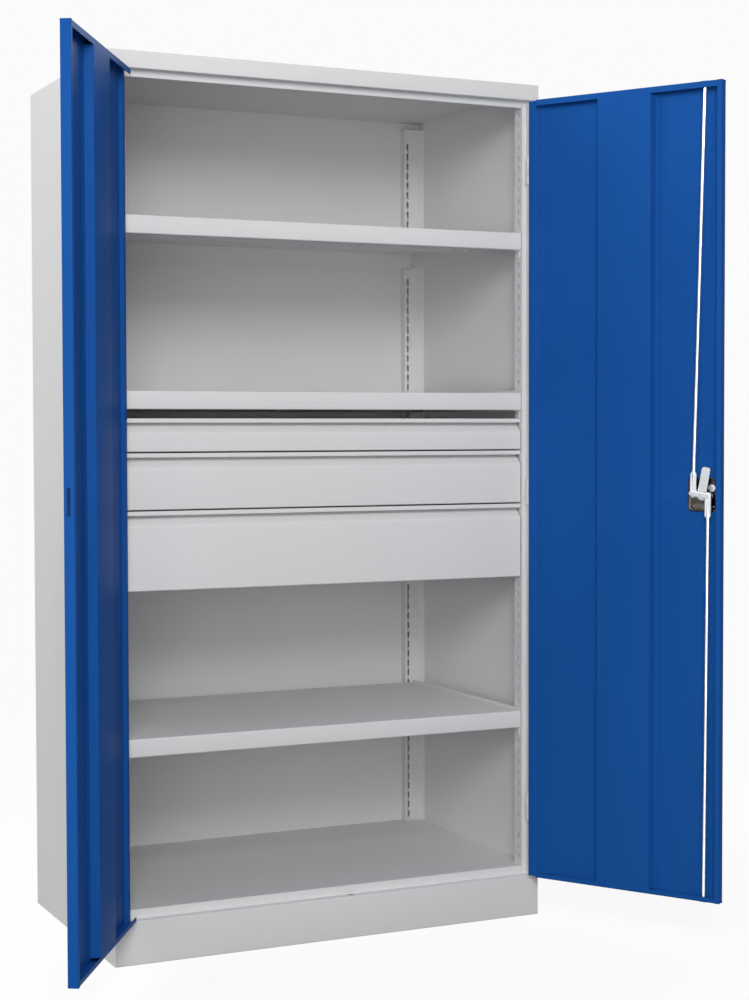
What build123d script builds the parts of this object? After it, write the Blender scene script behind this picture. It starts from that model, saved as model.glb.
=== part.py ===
# Heavy-duty storage cabinet: sheet-steel body on a plinth, two hinged doors, a rod lock
# with a swinging tongue, three adjustable shelves and three drawers on roller runners.
# Millimetres, +Z up. The origin is on the floor, at the centre of the base.
# The cabinet's front faces -Y. At rest both doors stand open and every drawer is shut.
from build123d import *
import os
from math import atan2, cos, degrees, radians, sin

os.makedirs("parts", exist_ok=True)

# Body
HEIGHT = 1950.0
WIDTH = 1040.0
DEPTH = 625.0
SHEET = 1.2
CAP_LIP = 37.0
RAIL_DROP = 15.0
RAIL_RETURN = 12.0
PLINTH_HEIGHT = 95.0
PLINTH_LEDGE = 42.0
FLOOR_RISE = 20.0
FLANGE = 20.0
BACK_RETURN = 15.0
STILE_WIDTH = 21.0

# Posts
POST_SHEET = 1.5
POST_FACE = 31.5
POST_DEPTH = 34.0
POST_RETURN = 14.5
REAR_POST_INSET = 53.0
REAR_POST_DEPTH = 22.6
REAR_POST_BEVEL = 9.8
REAR_POST_DROP = 20.0
HOLE_PITCH = 25.0
HOLE_FIRST = 134.0
HOLE_TOP_MARGIN = 60.0
HOLE_COUNT = int((HEIGHT - HOLE_TOP_MARGIN - HOLE_FIRST) // HOLE_PITCH) + 1
FRONT_HOLE = (5.0, 12.0)
FRONT_HOLE_SETBACK = 16.5
REAR_HOLE = (5.5, 17.0)
REAR_HOLE_INSET = 9.0

# Shelves
SHELF_STEPS = {"top": 57, "middle": 42, "bottom": 12}
SHELF_FRONT = 40.0
SHELF_RETURN = 22.0
SHELF_SIDE_GAP = 1.5
SHELF_REAR_GAP = 1.0
SHELF_SETBACK = 2.0
SHELF_BEAM = (56.0, 22.0)
CLIP_SHEET = 1.5
CLIP_REACH = 14.0
CLIP_WIDTH = 14.0
CLIP_HEIGHT = 18.0
CLIP_HOOK = (4.0, 7.0)
CLIP_RISE = 9.0

# Doors
DOOR_SHEET = 1.2
DOOR_DEPTH = 21.5
DOOR_TOP_GAP = 4.0
DOOR_BOTTOM_GAP = 3.0
DOOR_MEETING_GAP = 3.0
DOOR_OPENING = 121.0
PIVOT_INSET = 26.5
PIVOT_TO_EDGE = 5.0
HINGE_FOLD = 9.0
HINGE_RETURN = 20.0
FREE_LIP = 11.0
TOP_LIP = 14.0
BOTTOM_LIP = 11.0
BEAM_CENTRE = 250.0
BEAM_FACE = 130.0
BEAM_SLOPE = 5.0
BEAM_FOOT = 12.0

# Hinges
LOWEST_HINGE = 260.0
HIGHEST_HINGE = HEIGHT - 200.0
MIDDLE_HINGE_DROP = 2.0
HINGE_HEIGHTS = (
    LOWEST_HINGE,
    (LOWEST_HINGE + HIGHEST_HINGE) / 2 - MIDDLE_HINGE_DROP,
    HIGHEST_HINGE,
)
KNUCKLE_RADIUS = 4.5
KNUCKLE_LENGTH = 20.0
KNUCKLE_GAP = 0.3
HINGE_PIN_RADIUS = 2.5
RUNNING_FIT = 0.05
LEAF_SHEET = 2.0
LEAF_DEPTH = 19.5
DOOR_LEAF_SHEET = 1.8
PIN_HEAD_RADIUS = 3.5
PIN_HEAD = 1.5

# Lock and handle
LOCK_HEIGHT = 1002.5
LOCK_TO_EDGE = 49.5
LOCK_TILT = 8.0
CASE_SIZE = (70.0, 74.0)
CASE_SHEET = 2.0
CASE_RIM = 3.0
CASE_BOSS = (27.0, 15.0)
CASE_BOSS_RADIUS = 8.0
CASE_SCREWS = (48.0, 54.0)
SPINDLE_RADIUS = 6.0
CAM_LEVEL = 5.5
CAM_THICKNESS = 3.0
CAM_HUB_RADIUS = 13.0
CAM_ARM = 16.0
CRANK_RADIUS = 18.0
CRANK_PIN_RADIUS = 3.0
TONGUE_WIDTH = 26.0
TONGUE_REACH = 62.0
TONGUE_CORNER = 9.0
SCREW_RADIUS = 6.0
SCREW_HEAD = 3.0
ROD_LEVEL = 15.0
ROD_RADIUS = 4.0
ROD_TIP_CHAMFER = 1.5
FORK_WIDTH = 16.0
FORK_THICKNESS = 6.0
FORK_LENGTH = 41.0
FORK_END = 8.5
UPPER_GUIDE_TO_EDGE = 42.0
LOWER_GUIDE_TO_EDGE = 38.5
ROD_TIP_MARGIN = 1.0
GUIDE_PLAY = 9.6
GUIDE_CLEARANCE = 0.8
KEEPER_PLAY = 12.0
KEEPER_CLEARANCE = 2.0
TONGUE_SLOT = 6.5
TONGUE_SLOT_BELOW = 2.0
LEFT_SLOT_ABOVE = 38.5
RIGHT_SLOT_ABOVE = 43.5
ESCUTCHEON = (56.0, 120.0, 6.0)
ESCUTCHEON_CORNER = 14.0
HANDLE_GAP = 0.3
HANDLE_HUB_RADIUS = 14.0
HANDLE_STEM = 14.0
GRIP = (66.0, 25.0, 16.0)
GRIP_FILLET = 5.0
KEY_RADIUS = 8.5
KEY_DEPTH = 22.0
KEY_CLEARANCE = 0.1
KEYWAY = (9.0, 2.2, 6.0)

# Drawers
DRAWER_FRONTS = (72.0, 122.0, 172.0)
DRAWER_GAP = 3.0
DRAWER_STACK_DROP = 19.5
DRAWER_SIDE_GAP = 2.5
DRAWER_SHEET = 1.2
GRIP_LIP = 9.0
GRIP_DEPTH = 25.0
GRIP_NECK = 10.0
GRIP_FOOT = 33.0
TRAY_SHEET = 1.0
TRAY_SIDE_INSET = 16.0
TRAY_LIFT = 22.0
TRAY_DROP = 2.0
TRAY_REAR_GAP = 12.5
RIB_PITCH = 30.0
RIB_COUNT = 17
RIB_WIDTH = 13.0
RIB_PROUD = 2.5
RIB_HEIGHT = 30.0
CREASE_SHARE = 0.42
CREASE_HEIGHT = 5.0
CREASE_PROUD = 1.5

# Roller runners
RUNNER_SHEET = 1.4
RUNNER_BOTTOM = 2.0
RUNNER_TOP = 22.4
RUNNER_TOP_FLANGE = 9.5
RUNNER_BOTTOM_FLANGE = 14.5
RUNNER_FRONT_SETBACK = 4.5
RAIL_SHEET = 1.2
RAIL_WEB_INSET = 6.0
RAIL_TOP_REACH = 14.0
RAIL_BOTTOM_REACH = 6.0
RAIL_BOTTOM = 5.0
ROLLER_RADIUS = 8.5
ROLLER_WIDTH = 14.0
ROLLER_TO_POST = 3.5
ROLLER_FILLET = 1.0
ROLLER_CENTRE = 12.1
FRONT_ROLLER_SETBACK = 16.0
REAR_ROLLER_SETBACK = 13.0
AXLE_RADIUS = 2.5
AXLE_HEAD_RADIUS = 4.0
AXLE_HEAD = 1.0
AXLE_END_GAP = 0.2

# Places that follow from the sizes above
FRONT = -DEPTH / 2
BACK = DEPTH / 2
INNER = WIDTH / 2 - SHEET
LIP_BOTTOM = HEIGHT - CAP_LIP
POST_FRONT = FRONT + DOOR_DEPTH + 0.5
POST_SIDE = WIDTH / 2 - POST_FACE
STILE_SIDE = WIDTH / 2 - STILE_WIDTH
BACK_FACE = BACK - 2 * SHEET
REAR_POST_FRONT = BACK_FACE - REAR_POST_DEPTH
FLOOR_TOP = PLINTH_HEIGHT + FLOOR_RISE
DOOR_BOTTOM = PLINTH_HEIGHT + DOOR_BOTTOM_GAP
DOOR_TOP = LIP_BOTTOM - DOOR_TOP_GAP
PIVOT = (WIDTH / 2 - PIVOT_INSET, FRONT)
DOOR_WIDTH = PIVOT[0] - PIVOT_TO_EDGE - DOOR_MEETING_GAP / 2
KEEPER_TOP_X = DOOR_MEETING_GAP / 2 + UPPER_GUIDE_TO_EDGE
KEEPER_BOTTOM_X = DOOR_MEETING_GAP / 2 + LOWER_GUIDE_TO_EDGE
ROD_Y = FRONT + ROD_LEVEL
DRAWER_FACE = POST_FRONT + SHELF_SETBACK
DRAWER_HALF = POST_SIDE - DRAWER_SIDE_GAP
TRAY_HALF = DRAWER_HALF - TRAY_SIDE_INSET
TRAY_FRONT = DRAWER_FACE + GRIP_DEPTH
TRAY_REAR = REAR_POST_FRONT - TRAY_REAR_GAP

# The right door's frame: x from the hinge edge to the free edge, y outwards, z up
OPEN_X = (-cos(radians(DOOR_OPENING)), -sin(radians(DOOR_OPENING)), 0)
DOOR = Plane(
    origin=(PIVOT[0] + PIVOT_TO_EDGE * OPEN_X[0], PIVOT[1] + PIVOT_TO_EDGE * OPEN_X[1], 0),
    x_dir=OPEN_X,
    z_dir=(0, 0, 1),
)
# The lock's frame: x to the free edge, y up, z inwards from the door's outer face
LOCK_X = DOOR_WIDTH - LOCK_TO_EDGE
LOCK = Plane(
    origin=DOOR.from_local_coords((LOCK_X, 0, LOCK_HEIGHT)),
    x_dir=OPEN_X,
    z_dir=DOOR.y_dir * -1,
)


def bent_sheet(plane, points, thickness):
    """The section of a folded sheet: its line, thickened to the right of its direction."""
    with BuildSketch(plane) as section:
        with BuildLine():
            Polyline(*points)
            offset(amount=thickness, side=Side.RIGHT, kind=Kind.INTERSECTION)
        make_face()
    return section.sketch


def finish(name, part):
    """Labels one sub-part and writes it to its file."""
    part.label = name
    export_step(part, f"parts/{name}.step")


def mirrored(part):
    """The left-hand twin of a right-hand sub-part."""
    with BuildPart() as twin:
        mirror(part, about=Plane.YZ)
    return twin.part


# Side panels: wall, front stile, back return and foot flange
with BuildPart() as side_panel_right:
    with Locations((INNER, FRONT + SHEET, 0)):
        Box(SHEET, DEPTH - SHEET, HEIGHT, align=(Align.MIN, Align.MIN, Align.MIN))
    extrude(
        bent_sheet(
            Plane.XY.offset(PLINTH_HEIGHT),
            [
                (WIDTH / 2, FRONT + 2 * SHEET),
                (WIDTH / 2, FRONT),
                (STILE_SIDE, FRONT),
                (STILE_SIDE, POST_FRONT),
            ],
            SHEET,
        ),
        amount=LIP_BOTTOM - PLINTH_HEIGHT,
    )
    with Locations((WIDTH / 2 - BACK_RETURN, BACK - SHEET, 0)):
        Box(BACK_RETURN, SHEET, HEIGHT - SHEET, align=(Align.MIN, Align.MIN, Align.MIN))
    with Locations((INNER - FLANGE, POST_FRONT, 0)):
        Box(FLANGE, DEPTH - 4 * FLANGE, SHEET, align=(Align.MIN, Align.MIN, Align.MIN))
finish("side_panel_right", side_panel_right.part)
finish("side_panel_left", mirrored(side_panel_right.part))

# Back panel with a foot flange
with BuildPart() as back_panel:
    with Locations((0, BACK_FACE, 0)):
        Box(2 * INNER, SHEET, HEIGHT - SHEET, align=(Align.CENTER, Align.MIN, Align.MIN))
    with Locations((0, BACK_FACE, 0)):
        Box(2 * (INNER - FLANGE), FLANGE, SHEET, align=(Align.CENTER, Align.MAX, Align.MIN))
finish("back_panel", back_panel.part)

# Roof cap: front lip, ledge, rail between the posts, and the roof sheet
with BuildPart() as roof_cap:
    extrude(
        bent_sheet(
            Plane.YZ.offset(-INNER),
            [
                (POST_FRONT, LIP_BOTTOM),
                (FRONT, LIP_BOTTOM),
                (FRONT, HEIGHT),
                (BACK, HEIGHT),
            ],
            SHEET,
        ),
        amount=2 * INNER,
    )
    with Locations((0, FRONT, LIP_BOTTOM)):
        Box(WIDTH, SHEET, CAP_LIP, align=(Align.CENTER, Align.MIN, Align.MIN))
    extrude(
        bent_sheet(
            Plane.YZ.offset(-POST_SIDE + SHEET),
            [
                (POST_FRONT + RAIL_RETURN, LIP_BOTTOM - RAIL_DROP),
                (POST_FRONT, LIP_BOTTOM - RAIL_DROP),
                (POST_FRONT, LIP_BOTTOM + SHEET),
            ],
            SHEET,
        ),
        amount=2 * (POST_SIDE - SHEET),
    )
    with BuildSketch(Plane.XY.offset(LIP_BOTTOM)):
        with Locations((KEEPER_TOP_X, ROD_Y)):
            SlotOverall(
                2 * ROD_RADIUS + KEEPER_PLAY, 2 * (ROD_RADIUS + KEEPER_CLEARANCE)
            )
    extrude(amount=SHEET, mode=Mode.SUBTRACT)
finish("roof_cap", roof_cap.part)

# Plinth: foot return, kick face, ledge and the ledge's rear fold
with BuildPart() as plinth:
    extrude(
        bent_sheet(
            Plane.YZ.offset(-INNER),
            [
                (POST_FRONT - SHEET, 0),
                (FRONT, 0),
                (FRONT, PLINTH_HEIGHT),
                (FRONT + PLINTH_LEDGE, PLINTH_HEIGHT),
                (FRONT + PLINTH_LEDGE, PLINTH_HEIGHT - FLANGE),
            ],
            SHEET,
        ),
        amount=2 * INNER,
    )
    with Locations((0, FRONT, 0)):
        Box(WIDTH, SHEET, PLINTH_HEIGHT, align=(Align.CENTER, Align.MIN, Align.MIN))
    with BuildSketch(Plane.XY.offset(PLINTH_HEIGHT - SHEET)):
        with Locations((KEEPER_BOTTOM_X, ROD_Y)):
            SlotOverall(
                2 * ROD_RADIUS + KEEPER_PLAY, 2 * (ROD_RADIUS + KEEPER_CLEARANCE)
            )
    extrude(amount=SHEET, mode=Mode.SUBTRACT)
finish("plinth", plinth.part)

# Floor plate: a tray on the plinth's ledge, notched round the four posts
with BuildPart() as floor_plate:
    extrude(
        bent_sheet(
            Plane.YZ.offset(-INNER),
            [
                (POST_FRONT, PLINTH_HEIGHT),
                (POST_FRONT, FLOOR_TOP),
                (BACK_FACE, FLOOR_TOP),
                (BACK_FACE, PLINTH_HEIGHT),
            ],
            SHEET,
        ),
        amount=2 * INNER,
    )
    for side in (-1, 1):
        with Locations((side * (INNER - SHEET / 2), 0, PLINTH_HEIGHT)):
            Box(
                SHEET,
                REAR_POST_FRONT - POST_FRONT - POST_DEPTH - FLANGE,
                FLOOR_RISE,
                align=(Align.CENTER, Align.CENTER, Align.MIN),
            )
        with Locations((side * WIDTH / 2, POST_FRONT - SHEET, PLINTH_HEIGHT)):
            Box(
                2 * (POST_FACE + SHEET / 2),
                2 * (POST_DEPTH + 2 * SHEET),
                2 * FLOOR_RISE,
                align=(Align.CENTER, Align.CENTER, Align.MIN),
                mode=Mode.SUBTRACT,
            )
        with Locations((side * WIDTH / 2, BACK, PLINTH_HEIGHT)):
            Box(
                2 * (REAR_POST_INSET + SHEET / 2),
                2 * (BACK - REAR_POST_FRONT + REAR_POST_BEVEL + SHEET),
                2 * FLOOR_RISE,
                align=(Align.CENTER, Align.CENTER, Align.MIN),
                mode=Mode.SUBTRACT,
            )
finish("floor_plate", floor_plate.part)

# Front posts: face behind the door, perforated side and rear return
with BuildPart() as front_post_right:
    extrude(
        bent_sheet(
            Plane.XY.offset(PLINTH_HEIGHT),
            [
                (INNER, POST_FRONT),
                (POST_SIDE, POST_FRONT),
                (POST_SIDE, POST_FRONT + POST_DEPTH),
                (POST_SIDE + POST_RETURN, POST_FRONT + POST_DEPTH),
            ],
            POST_SHEET,
        ),
        amount=LIP_BOTTOM - PLINTH_HEIGHT,
    )
    with BuildSketch(Plane.YZ.offset(POST_SIDE)):
        with Locations(
            (
                POST_FRONT + FRONT_HOLE_SETBACK,
                HOLE_FIRST + HOLE_PITCH * (HOLE_COUNT - 1) / 2,
            )
        ):
            with GridLocations(0, HOLE_PITCH, 1, HOLE_COUNT):
                RectangleRounded(*FRONT_HOLE, FRONT_HOLE[0] / 3)
    extrude(amount=POST_SHEET, mode=Mode.SUBTRACT)
finish("front_post_right", front_post_right.part)
finish("front_post_left", mirrored(front_post_right.part))

# Rear posts: perforated face in the back corner, with a bevel to the side wall
with BuildPart() as rear_post_right:
    extrude(
        bent_sheet(
            Plane.XY.offset(PLINTH_HEIGHT),
            [
                (INNER, REAR_POST_FRONT - REAR_POST_BEVEL),
                (INNER - REAR_POST_BEVEL, REAR_POST_FRONT),
                (WIDTH / 2 - REAR_POST_INSET, REAR_POST_FRONT),
                (WIDTH / 2 - REAR_POST_INSET, BACK_FACE),
            ],
            POST_SHEET,
        ),
        amount=HEIGHT - REAR_POST_DROP - PLINTH_HEIGHT,
    )
    with BuildSketch(Plane.XZ.offset(-REAR_POST_FRONT)):
        with Locations(
            (
                WIDTH / 2 - REAR_POST_INSET + REAR_HOLE_INSET,
                HOLE_FIRST + HOLE_PITCH * (HOLE_COUNT - 1) / 2,
            )
        ):
            with GridLocations(0, HOLE_PITCH, 1, HOLE_COUNT):
                RectangleRounded(*REAR_HOLE, REAR_HOLE[0] / 3)
    extrude(amount=-POST_SHEET, mode=Mode.SUBTRACT)
    with Locations((INNER, 0, 0)):
        Box(
            2 * POST_SHEET,
            DEPTH,
            HEIGHT,
            align=(Align.MIN, Align.CENTER, Align.MIN),
            mode=Mode.SUBTRACT,
        )
finish("rear_post_right", rear_post_right.part)
finish("rear_post_left", mirrored(rear_post_right.part))


def shelf_bottom(step):
    """The underside of a shelf whose clips hang in the given hole."""
    return HOLE_FIRST + step * HOLE_PITCH + CLIP_RISE


def make_shelf(name, step):
    """One shelf tray with a beam welded under it, and the four clips that carry it."""
    low = shelf_bottom(step)
    high = low + SHELF_FRONT
    front = POST_FRONT + SHELF_SETBACK
    rear = REAR_POST_FRONT - SHELF_REAR_GAP
    half = POST_SIDE - SHELF_SIDE_GAP
    with BuildPart() as shelf:
        extrude(
            bent_sheet(
                Plane.YZ.offset(-half),
                [(front + SHELF_RETURN, low), (front, low), (front, high), (rear, high), (rear, low)],
                SHEET,
            ),
            amount=2 * half,
        )
        for side in (-1, 1):
            with Locations((side * (half - SHEET / 2), (front + rear) / 2, low)):
                Box(
                    SHEET,
                    rear - front,
                    SHELF_FRONT,
                    align=(Align.CENTER, Align.CENTER, Align.MIN),
                )
        middle = (front + rear) / 2
        width, height = SHELF_BEAM
        extrude(
            bent_sheet(
                Plane.YZ.offset(-half + SHEET),
                [
                    (middle + width / 2, high - SHEET),
                    (middle + width / 2, high - height),
                    (middle - width / 2, high - height),
                    (middle - width / 2, high - SHEET),
                ],
                SHEET,
            ),
            amount=2 * (half - SHEET),
        )
    finish(f"shelf_{name}", shelf.part)

    hook_width, hook_height = CLIP_HOOK
    hole_y = POST_FRONT + FRONT_HOLE_SETBACK
    hole_x = WIDTH / 2 - REAR_POST_INSET + REAR_HOLE_INSET
    with BuildPart() as clips:
        for side in (-1, 1):
            inward = Align.MAX if side > 0 else Align.MIN
            outward = Align.MIN if side > 0 else Align.MAX
            with Locations((side * POST_SIDE, hole_y, low)):
                Box(CLIP_SHEET, CLIP_WIDTH, CLIP_HEIGHT, align=(inward, Align.CENTER, Align.MAX))
                Box(CLIP_REACH, CLIP_WIDTH, CLIP_SHEET, align=(inward, Align.CENTER, Align.MAX))
            with Locations((side * POST_SIDE, hole_y, low - CLIP_RISE)):
                Box(2 * POST_SHEET, hook_width, hook_height, align=(outward, Align.CENTER, Align.CENTER))
            with Locations((side * hole_x, REAR_POST_FRONT, low)):
                Box(CLIP_WIDTH, CLIP_SHEET, CLIP_HEIGHT, align=(Align.CENTER, Align.MAX, Align.MAX))
                Box(CLIP_WIDTH, CLIP_REACH, CLIP_SHEET, align=(Align.CENTER, Align.MAX, Align.MAX))
            with Locations((side * hole_x, REAR_POST_FRONT, low - CLIP_RISE)):
                Box(hook_width, 2 * POST_SHEET, hook_height, align=(Align.CENTER, Align.MIN, Align.CENTER))
    finish(f"shelf_clips_{name}", clips.part)


for shelf_name, shelf_step in SHELF_STEPS.items():
    make_shelf(shelf_name, shelf_step)

# Hinges: frame leaves, door leaves and pins, three to a door
KNUCKLE_END = 1.5 * KNUCKLE_LENGTH
with BuildPart() as hinge_leaves_right_frame:
    for height in HINGE_HEIGHTS:
        with Locations((STILE_SIDE, FRONT, height)):
            Box(
                LEAF_SHEET,
                LEAF_DEPTH,
                2 * KNUCKLE_END,
                align=(Align.MAX, Align.MIN, Align.CENTER),
            )
        with Locations((*PIVOT, height)):
            Cylinder(KNUCKLE_RADIUS, 2 * KNUCKLE_END)
    for height in HINGE_HEIGHTS:
        with Locations((*PIVOT, height)):
            Cylinder(
                KNUCKLE_RADIUS + KNUCKLE_GAP, KNUCKLE_LENGTH, mode=Mode.SUBTRACT
            )
            Cylinder(HINGE_PIN_RADIUS, 2 * KNUCKLE_END, mode=Mode.SUBTRACT)
finish("hinge_leaves_right_frame", hinge_leaves_right_frame.part)
finish("hinge_leaves_left_frame", mirrored(hinge_leaves_right_frame.part))

with BuildPart(DOOR) as hinge_leaves_right_door:
    for height in HINGE_HEIGHTS:
        with Locations((0, 0, height)):
            Box(
                DOOR_LEAF_SHEET,
                HINGE_FOLD,
                KNUCKLE_LENGTH - 2 * KNUCKLE_GAP,
                align=(Align.MAX, Align.MAX, Align.CENTER),
            )
        with Locations((-PIVOT_TO_EDGE, 0, height)):
            Cylinder(KNUCKLE_RADIUS, KNUCKLE_LENGTH - 2 * KNUCKLE_GAP)
            Cylinder(HINGE_PIN_RADIUS + RUNNING_FIT, KNUCKLE_LENGTH, mode=Mode.SUBTRACT)
finish("hinge_leaves_right_door", hinge_leaves_right_door.part)
finish("hinge_leaves_left_door", mirrored(hinge_leaves_right_door.part))

with BuildPart() as hinge_pins_right:
    for height in HINGE_HEIGHTS:
        with Locations((*PIVOT, height)):
            Cylinder(HINGE_PIN_RADIUS, 2 * KNUCKLE_END)
        with Locations((*PIVOT, height + KNUCKLE_END)):
            Cylinder(
                PIN_HEAD_RADIUS, PIN_HEAD, align=(Align.CENTER, Align.CENTER, Align.MIN)
            )
finish("hinge_pins_right", hinge_pins_right.part)
finish("hinge_pins_left", mirrored(hinge_pins_right.part))


def add_door_pan(slot_top):
    """The folded door skin with its flanges, lips and the slot for the lock's tongue."""
    with BuildPart(DOOR) as pan:
        extrude(
            bent_sheet(
                DOOR.offset(DOOR_BOTTOM),
                [
                    (HINGE_RETURN, -HINGE_FOLD),
                    (0, -HINGE_FOLD),
                    (0, 0),
                    (DOOR_WIDTH, 0),
                    (DOOR_WIDTH, -DOOR_DEPTH),
                    (DOOR_WIDTH - FREE_LIP, -DOOR_DEPTH),
                ],
                DOOR_SHEET,
            ),
            amount=DOOR_TOP - DOOR_BOTTOM,
        )
        with Locations((0, 0, DOOR_BOTTOM)):
            Box(DOOR_WIDTH, DOOR_DEPTH, DOOR_SHEET, align=(Align.MIN, Align.MAX, Align.MIN))
        with Locations((0, -DOOR_DEPTH, DOOR_BOTTOM)):
            Box(DOOR_WIDTH, DOOR_SHEET, BOTTOM_LIP, align=(Align.MIN, Align.MIN, Align.MIN))
        with Locations((0, 0, DOOR_TOP)):
            Box(DOOR_WIDTH, DOOR_DEPTH, DOOR_SHEET, align=(Align.MIN, Align.MAX, Align.MAX))
        with Locations((0, -DOOR_DEPTH, DOOR_TOP)):
            Box(DOOR_WIDTH, DOOR_SHEET, TOP_LIP, align=(Align.MIN, Align.MIN, Align.MAX))
        slot_low = LOCK_HEIGHT - TONGUE_WIDTH / 2 - TONGUE_SLOT_BELOW
        with Locations((DOOR_WIDTH, -CAM_LEVEL - 1.5 * CAM_THICKNESS, slot_low)):
            Box(
                2 * DOOR_SHEET,
                TONGUE_SLOT,
                slot_top - slot_low,
                align=(Align.CENTER, Align.CENTER, Align.MIN),
                mode=Mode.SUBTRACT,
            )
    return pan.part


# Doors: the pan of each, with the lock's openings in the right one
with BuildPart() as door_left_pan:
    mirror(add_door_pan(LOCK_HEIGHT + LEFT_SLOT_ABOVE), about=Plane.YZ)
finish("door_left_pan", door_left_pan.part)

with BuildPart() as door_right_pan:
    add(add_door_pan(LOCK_HEIGHT + RIGHT_SLOT_ABOVE))
    for to_edge, level in (
        (UPPER_GUIDE_TO_EDGE, DOOR_TOP - DOOR_SHEET),
        (LOWER_GUIDE_TO_EDGE, DOOR_BOTTOM),
    ):
        with BuildSketch(DOOR.offset(level)):
            with Locations((DOOR_WIDTH - to_edge, -ROD_LEVEL)):
                SlotOverall(
                    2 * ROD_RADIUS + GUIDE_PLAY, 2 * (ROD_RADIUS + GUIDE_CLEARANCE)
                )
        extrude(amount=DOOR_SHEET, mode=Mode.SUBTRACT)
    with BuildSketch(LOCK):
        Circle(2 * SPINDLE_RADIUS)
    extrude(amount=DOOR_SHEET, mode=Mode.SUBTRACT)
finish("door_right_pan", door_right_pan.part)

# Door stiffeners: a wide hat section on the inside of each door
with BuildPart() as door_right_stiffener:
    top = -DOOR_DEPTH + DOOR_SHEET
    half = BEAM_FACE / 2
    extrude(
        bent_sheet(
            DOOR.offset(DOOR_BOTTOM + BOTTOM_LIP),
            [
                (BEAM_CENTRE - half - BEAM_SLOPE - BEAM_FOOT, -DOOR_SHEET),
                (BEAM_CENTRE - half - BEAM_SLOPE, -DOOR_SHEET),
                (BEAM_CENTRE - half, top),
                (BEAM_CENTRE + half, top),
                (BEAM_CENTRE + half + BEAM_SLOPE, -DOOR_SHEET),
                (BEAM_CENTRE + half + BEAM_SLOPE + BEAM_FOOT, -DOOR_SHEET),
            ],
            DOOR_SHEET,
        ),
        amount=DOOR_TOP - TOP_LIP - DOOR_BOTTOM - BOTTOM_LIP,
    )
finish("door_right_stiffener", door_right_stiffener.part)
finish("door_left_stiffener", mirrored(door_right_stiffener.part))

# Lock case: a plate with a raised rim and a stop boss, on the inside of the right door
with BuildPart() as lock_case:
    with BuildSketch(LOCK.offset(DOOR_SHEET)):
        RectangleRounded(*CASE_SIZE, CASE_RIM * 3)
        with GridLocations(*CASE_SCREWS, 2, 2):
            Circle(AXLE_RADIUS, mode=Mode.SUBTRACT)
    extrude(amount=CASE_SHEET)
    with BuildSketch(LOCK.offset(DOOR_SHEET)):
        RectangleRounded(*CASE_SIZE, CASE_RIM * 3)
        RectangleRounded(
            CASE_SIZE[0] - 2 * CASE_RIM,
            CASE_SIZE[1] - 2 * CASE_RIM,
            CASE_RIM * 2,
            mode=Mode.SUBTRACT,
        )
    extrude(amount=CASE_SHEET + CASE_RIM / 2)
    with BuildSketch(LOCK.offset(DOOR_SHEET)):
        with Locations(CASE_BOSS):
            Circle(CASE_BOSS_RADIUS)
    extrude(amount=CAM_LEVEL + CAM_THICKNESS - DOOR_SHEET - KNUCKLE_GAP)
    with BuildSketch(LOCK.offset(DOOR_SHEET)):
        Circle(SPINDLE_RADIUS + RUNNING_FIT)
    extrude(amount=CASE_SHEET, mode=Mode.SUBTRACT)
finish("lock_case", lock_case.part)

# Four screws that hold the case to the door
with BuildPart() as lock_case_screws:
    with BuildSketch(LOCK.offset(DOOR_SHEET)):
        with GridLocations(*CASE_SCREWS, 2, 2):
            Circle(AXLE_RADIUS)
    extrude(amount=CASE_SHEET)
    with BuildSketch(LOCK.offset(DOOR_SHEET + CASE_SHEET)):
        with GridLocations(*CASE_SCREWS, 2, 2):
            Circle(AXLE_HEAD_RADIUS)
    extrude(amount=CAM_LEVEL - DOOR_SHEET - CASE_SHEET - KNUCKLE_GAP)
finish("lock_case_screws", lock_case_screws.part)

# Lock cam: a hub with two arms and the crank pins that the rods hang on
CAM_TOP = CAM_LEVEL + CAM_THICKNESS
TONGUE_TOP = CAM_TOP + CAM_THICKNESS
FORK_BOTTOM = ROD_LEVEL - FORK_THICKNESS / 2
FORK_TOP = ROD_LEVEL + FORK_THICKNESS / 2
CRANK = [
    (side * CRANK_RADIUS * cos(radians(LOCK_TILT)), -side * CRANK_RADIUS * sin(radians(LOCK_TILT)))
    for side in (-1, 1)
]
with BuildPart() as lock_cam:
    with BuildSketch(LOCK.offset(CAM_LEVEL)):
        Circle(CAM_HUB_RADIUS)
        SlotCenterToCenter(2 * CRANK_RADIUS, CAM_ARM, rotation=-LOCK_TILT)
        Circle(SPINDLE_RADIUS, mode=Mode.SUBTRACT)
    extrude(amount=CAM_THICKNESS)
    with BuildSketch(LOCK.offset(CAM_TOP)):
        with Locations(*CRANK):
            Circle(CRANK_PIN_RADIUS)
    extrude(amount=FORK_TOP + KNUCKLE_GAP - CAM_TOP)
finish("lock_cam", lock_cam.part)

# Swinging tongue: a flat bar riveted to the cam, upright when the lock is open
with BuildPart() as lock_tongue:
    with BuildSketch(LOCK.offset(CAM_TOP)):
        with Locations(Location((0, 0, 0), (0, 0, -LOCK_TILT))):
            Circle(TONGUE_WIDTH / 2)
            with Locations((0, TONGUE_REACH / 2)):
                bar = Rectangle(TONGUE_WIDTH, TONGUE_REACH)
        tips = bar.vertices().sort_by_distance((0, 0, 0))[-2:]
        Circle(SPINDLE_RADIUS, mode=Mode.SUBTRACT)
    extrude(amount=CAM_THICKNESS)
    outer = lock_tongue.edges().filter_by(Axis(LOCK.origin, LOCK.z_dir))
    outer = outer.sort_by_distance(LOCK.origin)[-2:]
    fillet(outer, TONGUE_CORNER)
finish("lock_tongue", lock_tongue.part)

# Spindle from the handle to the cam, and the screw that clamps the tongue and cam
with BuildPart() as lock_spindle:
    with BuildSketch(LOCK.offset(TONGUE_TOP)):
        Circle(SPINDLE_RADIUS)
    extrude(amount=-(TONGUE_TOP + ESCUTCHEON[2] + HANDLE_STEM / 2))
finish("lock_spindle", lock_spindle.part)

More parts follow.
